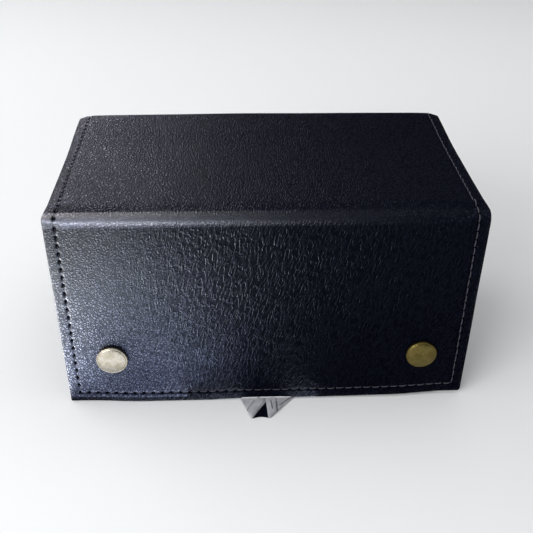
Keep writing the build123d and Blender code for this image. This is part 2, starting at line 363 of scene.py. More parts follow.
@dataclass(frozen=True)
class Settling:
    """How the used cover has settled out of its true planes: a smooth shift of each place on it.

    A pair of places says where a shift starts and where it is full, and a flare is given at the
    flap's top and at its lower edge.
    """

    plan: Plan
    margin_start: float = 91.6
    droop_left: float = math.radians(25.0)
    droop_right: float = math.radians(4.0)
    droop_shape: float = 0.8
    lid_flare: float = 1.9
    upper: Pair = (70.0, 99.0)
    curl: Triple = (0.8, -0.6, -1.5)
    curl_gain: float = 1.35
    curl_across: Pair = (92.4, 101.0)
    curl_back: Pair = (12.0, 54.0)
    crown_middle: float = 0.8
    crown_ends: float = -0.5
    crown_back: Pair = (30.0, 54.0)
    crown_up: Pair = (62.0, 98.0)
    back_rise: float = 1.6
    rise_back: Pair = (8.0, 56.0)
    front_sag: float = 1.7
    sag_front: Pair = (-46.5, -58.25)
    corner_push: float = 1.1
    corner_start: float = 86.0
    flare_start: float = 84.0
    flare_front: Pair = (-46.0, -57.0)
    flare_left: Pair = (1.4, -0.2)
    flare_right: Pair = (1.3, -0.4)
    edge_low: float = 0.35
    edge_tab: float = 0.95
    edge_right: float = 1.9
    edge_to_tab: Pair = (-30.0, -15.0)
    edge_past_tab: float = 18.0
    edge_reach: float = 18.0
    edge_bow: float = 1.5
    bow_across: Pair = (90.0, 62.0)
    bow_reach: float = 24.0
    wave: float = 0.22
    wave_length: float = 37.0
    wave_below: Pair = (6.0, 16.0)

    def shift(self, points: Array) -> Array:
        """How far each point has moved.

        Args:
            points: Rows of x, y and z in millimetres, at the true planes.

        Returns:
            The shift of each point.
        """
        moved = np.zeros(points.shape)
        for settle in (self._droop, self._curl, self._crown, self._corner, self._flap):
            settle(points, moved)
        return moved

    def _droop(self, points: Array, moved: Array) -> None:
        """The lid's stitched side margins droop between the stiff folds, and the left one flares.

        Args:
            points: Rows of x, y and z.
            moved: Their shift so far, which this adds to.
        """
        x, y, z = np.moveaxis(points, -1, 0)
        past = np.maximum(np.abs(x) - self.margin_start, 0.0)
        span = np.clip(y / self.plan.fold_start, -1.0, 1.0)
        along = np.cos(span * QUARTER) ** self.droop_shape
        angle = np.where(x < 0.0, self.droop_left, self.droop_right) * along
        on_lid = z > self.plan.top - 2.0 * self.plan.panel
        moved[..., 0] -= np.where(on_lid, np.sign(x) * past * (1.0 - np.cos(angle)), 0.0)
        moved[..., 2] -= np.where(on_lid, past * np.sin(angle), 0.0)
        flare = self.lid_flare * along * ease(x, -self.flare_start, -self.plan.half_width)
        moved[..., 0] -= np.where(on_lid, flare, 0.0)

    def _curl(self, points: Array, moved: Array) -> None:
        """The ends of the top back fold curl down and inwards.

        Args:
            points: Rows of x, y and z.
            moved: Their shift so far, which this adds to.
        """
        x, y, z = np.moveaxis(points, -1, 0)
        share = ease(np.abs(x), *self.curl_across) * self.curl_gain
        share = share * ease(y, *self.curl_back) * ease(z, *self.upper)
        inwards, forwards, down = self.curl
        moved[..., 0] += inwards * np.sign(x) * share
        moved[..., 1] += forwards * share
        moved[..., 2] += down * share

    def _corner(self, points: Array, moved: Array) -> None:
        """The left end of the top front fold stands out sharper.

        Args:
            points: Rows of x, y and z.
            moved: Their shift so far, which this adds to.
        """
        x, y, z = np.moveaxis(points, -1, 0)
        plan = self.plan
        out = ease(x, -self.corner_start, -plan.half_width)
        turn = np.arctan2(plan.top - plan.fold_radius - z, -plan.fold_start - y)
        ridge = ease(np.abs(turn + math.pi / 4.0), math.pi / 4.0, 0.0)
        on_fold = (y < -plan.fold_start) & (z > plan.top - plan.fold_radius)
        push = self.corner_push * np.where(on_fold, ridge, 0.0) * out
        moved[..., 1] -= push * math.sqrt(0.5)
        moved[..., 2] += push * math.sqrt(0.5)

    def _crown(self, points: Array, moved: Array) -> None:
        """The top back fold bows out at its middle and stands up, and the top front fold sags.

        Args:
            points: Rows of x, y and z.
            moved: Their shift so far, which this adds to.
        """
        x, y, z = np.moveaxis(points, -1, 0)
        share = (x / self.plan.half_width) ** 2
        bow = self.crown_middle + (self.crown_ends - self.crown_middle) * share
        moved[..., 1] += bow * ease(y, *self.crown_back) * ease(z, *self.crown_up)
        lift = self.back_rise * ease(y, *self.rise_back) - self.front_sag * ease(y, *self.sag_front)
        moved[..., 2] += lift * ease(z, *self.upper)

    def _flap(self, points: Array, moved: Array) -> None:
        """The flap narrows towards its lower edge, which bows out and hangs lowest at the left.

        Args:
            points: Rows of x, y and z.
            moved: Their shift so far, which this adds to.
        """
        x, y, z = np.moveaxis(points, -1, 0)
        plan = self.plan
        bottom = plan.flap_bottom
        front = y < -plan.fold_start + 0.01
        down = np.clip((plan.top - z) / (plan.top - bottom), 0.0, 1.0)
        side = ease(np.abs(x), self.flare_start, plan.half_width) * ease(y, *self.flare_front)
        above, below = (np.where(x < 0.0, *pair) for pair in zip(self.flare_left, self.flare_right))
        moved[..., 0] += np.sign(x) * side * (above + (below - above) * down)
        past_tab = ease(x, self.edge_past_tab, plan.half_width)
        edge = self.edge_low + (self.edge_tab - self.edge_low) * ease(x, *self.edge_to_tab)
        edge = edge + (self.edge_right - self.edge_tab) * past_tab
        near = ease(z, bottom + self.edge_reach, bottom)
        moved[..., 2] += np.where(front, (edge - bottom) * near, 0.0)
        bow = self.edge_bow * ease(np.abs(x), *self.bow_across)
        bow = bow * ease(z, bottom + self.bow_reach, bottom)
        moved[..., 1] -= np.where(front, bow, 0.0)
        outer = ease(np.abs(x), self.margin_start, plan.half_width)
        wave = self.wave * ripple(x * 0.0, z, self.wave_length, 1.3) * outer
        fade = ease(z, *(plan.top - depth for depth in self.wave_below))
        moved[..., 1] -= np.where(front, wave * fade, 0.0)


@dataclass(frozen=True)
class Seam:
    """The line of stitches round the whole cover: its place, its spacing and what it pulls in."""

    plan: Plan
    inset: float = 5.0
    usual_pitch: float = 4.5
    furrow: float = 0.14
    furrow_width: float = 0.5
    hole: float = 0.62
    hole_width: float = 0.66
    hole_length: float = 1.0

    @property
    def side(self) -> float:
        """Distance of the side lines from the middle."""
        return self.plan.half_width - self.inset

    @property
    def first(self) -> float:
        """Distance along the cover of the line near the base's front edge."""
        return self.inset

    @property
    def last(self) -> float:
        """Distance along the cover of the line near the flap's lower edge."""
        return self.plan.length - self.inset

    @property
    def side_pitch(self) -> float:
        """Distance between needle holes on the side lines."""
        return (self.last - self.first) / round((self.last - self.first) / self.usual_pitch)

    @property
    def end_pitch(self) -> float:
        """Distance between needle holes on the lines along the free edges."""
        return 2.0 * self.side / round(2.0 * self.side / self.usual_pitch)

    def pull(self, x: Array, along: Array) -> Array:
        """How deep the stitching pulls the surface in.

        Args:
            x: Distance to the right of the middle.
            along: Distance along the cover.

        Returns:
            The depth at each place.
        """
        away, hole = self._near(x, along)
        return self.furrow * np.exp(-((away / self.furrow_width) ** 2)) + self.hole * hole

    def pressed(self, x: Array, along: Array) -> Array:
        """How far places are pressed in by a needle hole, from 0 to 1."""
        return self._near(x, along)[1]

    def _near(self, x: Array, along: Array) -> tuple[Array, Array]:
        """Where places lie in the seam.

        Args:
            x: Distance to the right of the middle.
            along: Distance along the cover.

        Returns:
            Their distance from the line of stitches, and their nearness to a hole from 0 to 1.
        """
        middle, half = (self.first + self.last) / 2.0, (self.last - self.first) / 2.0
        past_side = np.abs(x) - self.side
        past_end = np.abs(along - middle) - half
        inside = np.minimum(np.maximum(past_side, past_end), 0.0)
        outside = np.hypot(np.maximum(past_side, 0.0), np.maximum(past_end, 0.0))
        away = np.abs(inside + outside)
        by_side = self._to_hole(along - self.first, self.side_pitch)
        by_end = self._to_hole(x + self.side, self.end_pitch)
        to_hole = np.where(past_side > past_end, by_side, by_end)
        hole = np.exp(-((away / self.hole_width) ** 2) - (to_hole / self.hole_length) ** 2)
        return away, hole

    @staticmethod
    def _to_hole(distance: Array, pitch: float) -> Array:
        """Distance to the nearest needle hole along a line."""
        return pitch * np.abs((distance / pitch + 0.5) % 1.0 - 0.5)

    def stitches(self) -> list[tuple[float, float, float, float]]:
        """Every stitch as x and distance along the cover at its two ends.

        Returns:
            The stitches, side lines first.
        """
        found = []
        count = round((self.last - self.first) / self.side_pitch)
        for side in (-self.side, self.side):
            for number in range(count):
                start = self.first + number * self.side_pitch
                found.append((side, start, side, start + self.side_pitch))
        count = round(2.0 * self.side / self.end_pitch)
        for along in (self.first, self.last):
            for number in range(count):
                start = -self.side + number * self.end_pitch
                found.append((start, along, start + self.end_pitch, along))
        return found


def operator(operation: str, swapped: bool = False) -> Callable[["Value", Any], "Value"]:
    """One of the arithmetic operators of shader values, which adds a Math node.

    Args:
        operation: The node's operation.
        swapped: True where the other term stands on the left.

    Returns:
        The method.
    """

    def apply(value: "Value", other: Any) -> "Value":
        """Adds the node."""
        return value.combine(operation, *((other, value) if swapped else (value, other)))

    return apply


class Value:
    """A socket of a shader graph, usable in Python expressions on single numbers."""

    __add__, __radd__ = operator("ADD"), operator("ADD", swapped=True)
    __sub__, __rsub__ = operator("SUBTRACT"), operator("SUBTRACT", swapped=True)
    __mul__, __rmul__ = operator("MULTIPLY"), operator("MULTIPLY", swapped=True)
    __truediv__, __rtruediv__ = operator("DIVIDE"), operator("DIVIDE", swapped=True)

    def __init__(self, graph: "Graph", socket: bpy.types.NodeSocket) -> None:
        """Wraps one output socket of a graph."""
        self.graph = graph
        self.socket = socket

    def combine(self, operation: str, *terms: Any) -> "Value":
        """Adds a Math node.

        Args:
            operation: The node's operation.
            terms: Its values in order, as sockets or numbers.

        Returns:
            The node's result.
        """
        sockets = dict(enumerate(terms))
        return self.graph.node("ShaderNodeMath", {"operation": operation}, sockets)

    def size(self) -> "Value":
        """The value without its sign."""
        return self.combine("ABSOLUTE", self)

    def limited(self) -> "Value":
        """The value kept between 0 and 1."""
        return self.combine("MAXIMUM", self.combine("MINIMUM", self, 1.0), 0.0)

    def eased(self, start: float, end: float) -> "Value":
        """A smooth step of the value.

        Args:
            start: Value at which the step leaves 0.
            end: Value at which the step reaches 1.

        Returns:
            The step.
        """
        flip = start > end
        low, high = (end, start) if flip else (start, end)
        sockets = {
            "Value": self,
            "From Min": low,
            "From Max": high,
            "To Min": 1.0 if flip else 0.0,
            "To Max": 0.0 if flip else 1.0,
        }
        return self.graph.node("ShaderNodeMapRange", {"interpolation_type": "SMOOTHSTEP"}, sockets)


class Graph:
    """The node graph of one material or of the world."""

    def __init__(self, owner: bpy.types.Material | bpy.types.World) -> None:
        """Empties the graph of its owner.

        Args:
            owner: The material or the world.
        """
        self.owner = owner
        owner.use_nodes = True
        self.tree = owner.node_tree
        self.tree.nodes.clear()

    @classmethod
    def named(cls, name: str) -> "Graph":
        """The graph of a new material."""
        return cls(bpy.data.materials.new(name))

    @staticmethod
    def _find(sockets: Iterable[bpy.types.NodeSocket], key: int | str) -> bpy.types.NodeSocket:
        """A socket by its number, identifier or name.

        Args:
            sockets: A node's inputs or outputs.
            key: Which one.

        Returns:
            The socket.
        """
        listed = list(sockets)
        if isinstance(key, int):
            return listed[key]
        for socket in listed:
            if socket.identifier == key:
                return socket
        return next(socket for socket in listed if socket.name == key and socket.enabled)

    def node(
        self,
        kind: str,
        settings: dict[str, Any] | None = None,
        sockets: Sockets | None = None,
        result: int | str = 0,
    ) -> Value:
        """Adds a node.

        Args:
            kind: The node's type.
            settings: Its properties, which are set first.
            sockets: Values or links of its input sockets.
            result: Which output is wanted.

        Returns:
            That output.
        """
        made = self.tree.nodes.new(kind)
        for key, value in (settings or {}).items():
            setattr(made, key, value)
        for key, value in (sockets or {}).items():
            socket = self._find(made.inputs, key)
            if isinstance(value, Value):
                self.tree.links.new(value.socket, socket)
            else:
                socket.default_value = value
        return Value(self, self._find(made.outputs, result))

    def mix(self, factor: Value | float, first: Value | Colour, second: Value | Colour) -> Value:
        """Mixes two colours.

        Args:
            factor: Share of the second colour.
            first: Colour at 0.
            second: Colour at 1.

        Returns:
            The mixed colour.
        """
        sockets = {
            "Factor_Float": factor,
            "A_Color": first if isinstance(first, Value) else (*first, 1.0),
            "B_Color": second if isinstance(second, Value) else (*second, 1.0),
        }
        return self.node("ShaderNodeMix", {"data_type": "RGBA"}, sockets, "Result_Color")

    def placed(self, source: Value, turn: float, cell: Triple) -> Value:
        """Turns coordinates in metres about Z and divides them into cells.

        Args:
            source: The coordinates.
            turn: Angle of the turn in radians.
            cell: Size of a cell along each axis, in millimetres.

        Returns:
            Coordinates that grow by 1 for each cell.
        """
        turned = self.node(
            "ShaderNodeVectorRotate", {"rotation_type": "Z_AXIS"}, {"Vector": source, "Angle": turn}
        )
        scale = tuple(1.0 / (size * METRE) for size in cell)
        return self.node("ShaderNodeVectorMath", {"operation": "MULTIPLY"}, {0: turned, 1: scale})

    def noise(self, place: Value, detail: float, roughness: float) -> Value:
        """Smooth noise from 0 to 1 at some coordinates.

        Args:
            place: The coordinates.
            detail: How many finer layers it has.
            roughness: How strong each finer layer is.

        Returns:
            The noise.
        """
        sockets = {"Vector": place, "Scale": 1.0, "Detail": detail, "Roughness": roughness}
        return self.node("ShaderNodeTexNoise", {}, sockets, "Fac")

    def warped(self, place: Value, scale: float, amount: float) -> Value:
        """Coordinates bent about by coloured noise.

        Args:
            place: The coordinates.
            scale: Scale of the noise.
            amount: How far it bends them.

        Returns:
            The bent coordinates.
        """
        colour = self.node(
            "ShaderNodeTexNoise", {}, {"Vector": place, "Scale": scale, "Detail": 2.0}, "Color"
        )
        centred = self.node(
            "ShaderNodeVectorMath", {"operation": "SUBTRACT"}, {0: colour, 1: (0.5, 0.5, 0.5)}
        )
        sockets = {0: centred, 1: (amount, amount, amount), 2: place}
        return self.node("ShaderNodeVectorMath", {"operation": "MULTIPLY_ADD"}, sockets)

    def cells(self, place: Value, feature: str) -> Value:
        """Distance that a field of scattered cells gives at some coordinates.

        Args:
            place: The coordinates.
            feature: Which distance.

        Returns:
            The distance.
        """
        sockets = {"Vector": place, "Scale": 1.0, "Randomness": 1.0}
        return self.node("ShaderNodeTexVoronoi", {"feature": feature}, sockets, "Distance")

    def axis(self, place: Value, letter: str) -> Value:
        """One coordinate of a place."""
        return self.node("ShaderNodeSeparateXYZ", {}, {"Vector": place}, letter)

    def surface_place(self) -> Value:
        """Place on the unrolled sheet, in metres."""
        return self.node("ShaderNodeUVMap", {"uv_map": SURFACE_MAP}, {}, "UV")

    def object_place(self) -> Value:
        """Place in the piece's own coordinates, in metres."""
        return self.node("ShaderNodeTexCoord", {}, {}, "Object")

    def mark(self, name: str) -> Value:
        """One of the values from 0 to 1 that a piece keeps for its finish."""
        return self.node("ShaderNodeAttribute", {"attribute_name": name}, {}, "Fac")

    def bump(self, height: Value, depth: float) -> Value:
        """A bumped normal.

        Args:
            height: Height from 0 to 1.
            depth: What a height of 1 stands for, in millimetres.

        Returns:
            The normal.
        """
        sockets = {"Height": height, "Strength": 1.0, "Distance": depth * METRE}
        return self.node("ShaderNodeBump", {}, sockets, "Normal")

    def principled(self, sockets: Sockets) -> Value:
        """A principled surface with some values or links of its sockets."""
        return self.node("ShaderNodeBsdfPrincipled", {}, sockets, "BSDF")

    def finish(self, sockets: Sockets) -> bpy.types.Material:
        """Closes a material's graph with one principled surface, and returns the material."""
        return self.material(self.principled(sockets))

    def material(self, surface: Value) -> bpy.types.Material:
        """Closes a material's graph with a surface, and returns the material."""
        self.close("ShaderNodeOutputMaterial", surface)
        return self.owner

    def close(self, output: str, surface: Value) -> None:
        """Links a surface to a new output node."""
        made = self.tree.nodes.new(output)
        self.tree.links.new(surface.socket, made.inputs["Surface"])


@dataclass(frozen=True)
class Leather:
    """Navy leather with a pebbled grain that runs aslant."""

    name: str = "cover_leather"
    valley: Colour = (0.0009, 0.0012, 0.0033)
    crest: Colour = (0.0028, 0.0036, 0.0096)
    rubbed: Colour = (0.085, 0.088, 0.105)
    gloss: float = 0.035
    sheen_tint: Colour = (0.79, 0.87, 1.0)
    grain: Triple = (1.20, 1.50, 1.0)
    wrinkle: Triple = (1.8, 5.4, 1.0)
    crease: Triple = (4.2, 9.0, 1.0)
    speckle: Triple = (0.28, 0.28, 1.0)
    patches: Triple = (26.0, 34.0, 1.0)
    slant: float = math.radians(-20.0)
    wrinkled_across: Pair = (-0.085, -0.030)
    wrinkled_along: Pair = (0.318, 0.336)
    low_along: Pair = (0.36, 0.40)
    relief: float = 0.29
    pebble_height: float = 0.70
    flatter_on_flap: float = 0.42
    flatter_wrinkled: float = 0.14
    ridge_height: float = 0.56
    polish: float = 0.88
    roughness: float = 0.34
    # The shade colour, hollow_shade and ridge_shade paint shade into needle holes, grain hollows
    # and wrinkle valleys.
    shade: Colour = (0.0006, 0.0007, 0.0020)
    hollow_shade: float = 0.50
    ridge_shade: float = 0.36

    def material(self) -> bpy.types.Material:
        """Builds the leather: its grain and wrinkles, their relief, and painted shade in their
        hollows and needle holes.

        Returns:
            The material.
        """
        graph = Graph.named(self.name)
        flat = graph.surface_place()
        pebble_place = graph.warped(graph.placed(flat, self.slant, self.grain), 0.5, 0.7)
        pebble = graph.cells(pebble_place, "DISTANCE_TO_EDGE").eased(0.0, 0.34)
        wrinkle_place = graph.warped(graph.placed(flat, self.slant, self.wrinkle), 0.6, 0.5)
        folded = graph.noise(wrinkle_place, 1.2, 0.5) - 0.5
        ridge = 1.0 - folded.size().eased(0.0, 0.12)
        on_flap = graph.axis(flat, "Y").eased(*self.wrinkled_along)
        wrinkled = on_flap * graph.axis(flat, "X").eased(*self.wrinkled_across)
        fine = graph.noise(graph.placed(flat, 0.0, self.speckle), 3.0, 0.6)
        crease_place = graph.warped(graph.placed(flat, self.slant, self.crease), 0.8, 1.1)
        crease = graph.cells(crease_place, "DISTANCE_TO_EDGE").eased(0.0, 0.10)
        patch = graph.noise(graph.placed(flat, 0.3, self.patches), 3.0, 0.5)
        polished = graph.mark(POLISHED)
        raised = self.pebble_height - self.flatter_on_flap * on_flap
        raised = raised - self.flatter_wrinkled * wrinkled
        height = pebble * raised * (0.7 + 0.6 * patch) + 0.14 * fine + 0.06 * crease
        height = height + self.ridge_height * wrinkled * ridge
        normal = graph.bump(height * (1.0 - self.polish * polished), self.relief)
        tone = graph.mix((pebble * 0.75 + fine * 0.4).limited(), self.valley, self.crest)
        rub = (graph.mark(WEAR_AND_HIGHLIGHT) * (0.35 + 0.9 * fine) * pebble).limited()
        roughness = self.roughness + 0.14 * (1.0 - pebble) + 0.10 * (patch - 0.5)
        roughness = roughness + 0.10 * (on_flap - wrinkled)
        leather = graph.principled(
            {
                "Base Color": graph.mix(rub, tone, self.rubbed),
                "Roughness": roughness,
                "Normal": normal,
                "Specular IOR Level": self.gloss,
                "Specular Tint": (*self.sheen_tint, 1.0),
            }
        )
        # A matte near-black surface, mixed in as painted shade.
        hole = graph.principled(
            {"Base Color": (*self.shade, 1.0), "Roughness": 1.0, "Specular IOR Level": 0.0}
        )
        # Painted shade between the pebbles, deeper on the lower flap, and in the wrinkle valleys;
        # less on the smoothed fold ridges.
        low = graph.axis(flat, "Y").eased(*self.low_along)
        between = (1.0 - pebble) * (self.hollow_shade + 0.20 * low - 0.32 * wrinkled)
        hollow = between + self.ridge_shade * wrinkled * (1.0 - ridge)
        hollow = hollow * (1.0 - 0.7 * polished)
        # Painted shade in the needle holes.
        hole_shade = graph.mark(PAINTED_SHADE_MARK).eased(0.12, 0.5)
        dark = hole_shade + hollow * (1.0 - hole_shade)
        return graph.material(graph.node("ShaderNodeMixShader", {}, {0: dark, 1: leather, 2: hole}))


@dataclass(frozen=True)
class Suede:
    """Brushed suede cloth with a soft, patchy nap."""

    name: str
    dark: Colour = (0.22, 0.22, 0.235)
    light: Colour = (0.34, 0.34, 0.36)
    # Colour of the painted shade in needle holes, creases and shaded strips.
    painted_shade_colour: Colour = (0.045, 0.045, 0.06)
    # Colour of rubbed wear; on the ribbon's root roll it is a painted highlight.
    rubbed: Colour = (0.62, 0.62, 0.63)
    nap: Triple = (7.0, 12.0, 9.0)
    fibre: float = 0.22
    by_surface: bool = True

    def material(self) -> bpy.types.Material:
        """Builds the suede.

        Returns:
            The material.
        """
        graph = Graph.named(self.name)
        flat = graph.surface_place() if self.by_surface else graph.object_place()
        nap_place = graph.warped(graph.placed(flat, 0.5, self.nap), 0.7, 0.8)
        patches = graph.noise(nap_place, 4.0, 0.6)
        fibre_cell = (self.fibre, 2.2 * self.fibre, self.fibre)
        fibres = graph.noise(graph.placed(flat, 0.4, fibre_cell), 3.0, 0.7)
        tone = (patches.eased(0.3, 0.7) * 0.6 + fibres * 0.5 - 0.05).limited()
        normal = graph.bump(fibres + 0.5 * patches, 0.10)
        # Rubbed wear, and on the ribbon's root roll a painted highlight.
        worn = graph.mark(WEAR_AND_HIGHLIGHT) * (0.6 + 0.6 * fibres)
        colour = graph.mix(worn, graph.mix(tone, self.dark, self.light), self.rubbed)
        return graph.finish(
            {
                # Painted shade in needle holes, creases and shaded strips.
                "Base Color": graph.mix(graph.mark(PAINTED_SHADE_MARK), colour, self.painted_shade_colour),
                "Roughness": 0.82 + 0.12 * fibres,
                "Normal": normal,
                "Specular IOR Level": 0.2,
                "Sheen Weight": 0.35,
                "Sheen Roughness": 0.45,
            }
        )


@dataclass(frozen=True)
class Brass:
    """Antique brass: brushed, with darker patina in patches and towards the rim."""

    name: str
    clean: Colour = (0.34, 0.30, 0.20)
    aged: Colour = (0.20, 0.165, 0.07)
    green: Colour = (0.13, 0.15, 0.06)
    roughness: float = 0.24

    def material(self) -> bpy.types.Material:
        """Builds the brass.

        Returns:
            The material.
        """
        graph = Graph.named(self.name)
        place = graph.object_place()
        brushed = graph.noise(graph.placed(place, 0.9, (0.18, 2.4, 2.4)), 3.0, 0.7)
        blotch = graph.noise(graph.placed(place, 0.2, (4.0, 4.0, 4.0)), 4.0, 0.6)
        spots = graph.noise(graph.placed(place, 1.1, (2.6, 2.6, 2.6)), 2.0, 0.5)
        aged = blotch.eased(0.38, 0.68) * 0.75 + 0.25 * brushed + 0.35 * graph.mark(WEAR_AND_HIGHLIGHT)
        aged = aged.limited()
        tone = graph.mix(aged, self.clean, self.aged)
        tone = graph.mix(spots.eased(0.60, 0.74) * 0.5, tone, self.green)
        return graph.finish(
            {
                "Base Color": tone,
                "Metallic": 1.0,
                "Roughness": self.roughness + 0.16 * aged + 0.10 * (brushed - 0.5),
                "Normal": graph.bump(brushed + 0.6 * spots, 0.012),
            }
        )


@dataclass(frozen=True)
class Thread:
    """Waxed thread, with its twist as slanting ridges."""

    name: str = "thread"
    dark: Colour = (0.018, 0.018, 0.028)
    light: Colour = (0.092, 0.089, 0.112)
    twist: float = 0.55

    def material(self) -> bpy.types.Material:
        """Builds the thread.

        Returns:
            The material.
        """
        graph = Graph.named(self.name)
        flat = graph.surface_place()
        turned = graph.placed(flat, math.radians(38.0), (self.twist, self.twist, 1.0))
        ridge = graph.node(
            "ShaderNodeTexWave",
            {"wave_type": "BANDS", "bands_direction": "X", "wave_profile": "SIN"},
            {"Vector": turned, "Scale": 0.5, "Distortion": 0.4, "Detail": 1.0},
            "Fac",
        )
        fuzz = graph.noise(graph.placed(flat, 0.0, (0.12, 0.3, 1.0)), 2.0, 0.6)
        tone = (ridge * 0.7 + fuzz * 0.3).limited()
        return graph.finish(
            {
                "Base Color": graph.mix(tone, self.dark, self.light),
                "Roughness": 0.48 + 0.15 * fuzz,
                "Normal": graph.bump(ridge + 0.3 * fuzz, 0.06),
                "Specular IOR Level": 0.1,
            }
        )


@dataclass(frozen=True)
class GreyBoard:
    """Grey stiffening board with short paper fibres."""

    name: str = "board"
    dark: Colour = (0.30, 0.285, 0.25)
    light: Colour = (0.46, 0.44, 0.40)

    def material(self) -> bpy.types.Material:
        """Builds the board.

        Returns:
            The material.
        """
        graph = Graph.named(self.name)
        place = graph.object_place()
        fibres = graph.noise(graph.placed(place, 0.6, (0.4, 2.6, 0.4)), 4.0, 0.7)
        specks = graph.cells(graph.placed(place, 0.0, (1.6, 1.6, 1.6)), "F1").eased(0.16, 0.08)
        tone = (fibres - 0.35 * specks).limited()
        return graph.finish(
            {
                "Base Color": graph.mix(tone, self.dark, self.light),
                "Roughness": 0.88 + 0.08 * fibres,
                "Normal": graph.bump(fibres, 0.05),
                "Specular IOR Level": 0.25,
            }
        )


class Finishes:
    """Every finish of the box, each built once."""

    def __init__(self) -> None:
        """Builds the materials."""
        self.cover = Leather().material()
        self.tray = Leather(name="tray_leather", relief=0.11, roughness=0.46).material()
        self.suede = Suede("suede").material()
        self.tray_suede = Suede("tray_suede", by_surface=False).material()
        self.ribbon = Suede(
            "ribbon", (0.25, 0.25, 0.27), (0.42, 0.42, 0.45), nap=(2.5, 6.0, 4.0), fibre=0.16
        ).material()
        self.thread = Thread().material()
        # The two caps share one brass: the left is paler partly as a painted highlight, the right
        # darker partly as painted shade, besides real rubbing and patina.
        rubbed = ((0.50, 0.47, 0.42), (0.335, 0.30, 0.225), (0.37, 0.36, 0.285))
        aged = ((0.175, 0.138, 0.046), (0.105, 0.080, 0.022), (0.078, 0.092, 0.022))
        self.caps = {
            "left": Brass("cap_brass_lit_and_rubbed", *rubbed).material(),
            "right": Brass("cap_brass_shaded_and_aged", *aged).material(),
        }
        self.snap = Brass("snap_brass", clean=(0.55, 0.46, 0.27), roughness=0.34).material()
        self.board = GreyBoard().material()

    @staticmethod
    def dress(piece: bpy.types.Object, material: bpy.types.Material, slot: str) -> bpy.types.Object:
        """Gives a piece its finish.

        Args:
            piece: The piece.
            material: Its finish.
            slot: Not used.

        Returns:
            The piece.
        """
        piece.data.materials.clear()
        piece.data.materials.append(material)
        return piece

    @classmethod
    def stand_in(
        cls, piece: bpy.types.Object, material: bpy.types.Material, slot: str, node: str, body: str
    ) -> None:
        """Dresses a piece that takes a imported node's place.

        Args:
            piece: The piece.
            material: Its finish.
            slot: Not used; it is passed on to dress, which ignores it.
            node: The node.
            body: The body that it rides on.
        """
        cls.dress(piece, material, slot)
        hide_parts(node)
        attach(piece, body)


@dataclass(frozen=True)
class Fold:
    """A fold of the cover: its run, and the two bodies that it joins."""

    run: str
    before: str
    after: str


FOLDS = (
    Fold("bottom_back_fold", "base", "back"),
    Fold("top_back_fold", "back", "lid"),
    Fold("top_front_fold", "lid", "flap"),
)
PANELS = ("base", "back", "lid", "flap")


class Side(Enum):
    """The two faces of the cover."""

    OUTER = "leather"
    INNER = "suede"


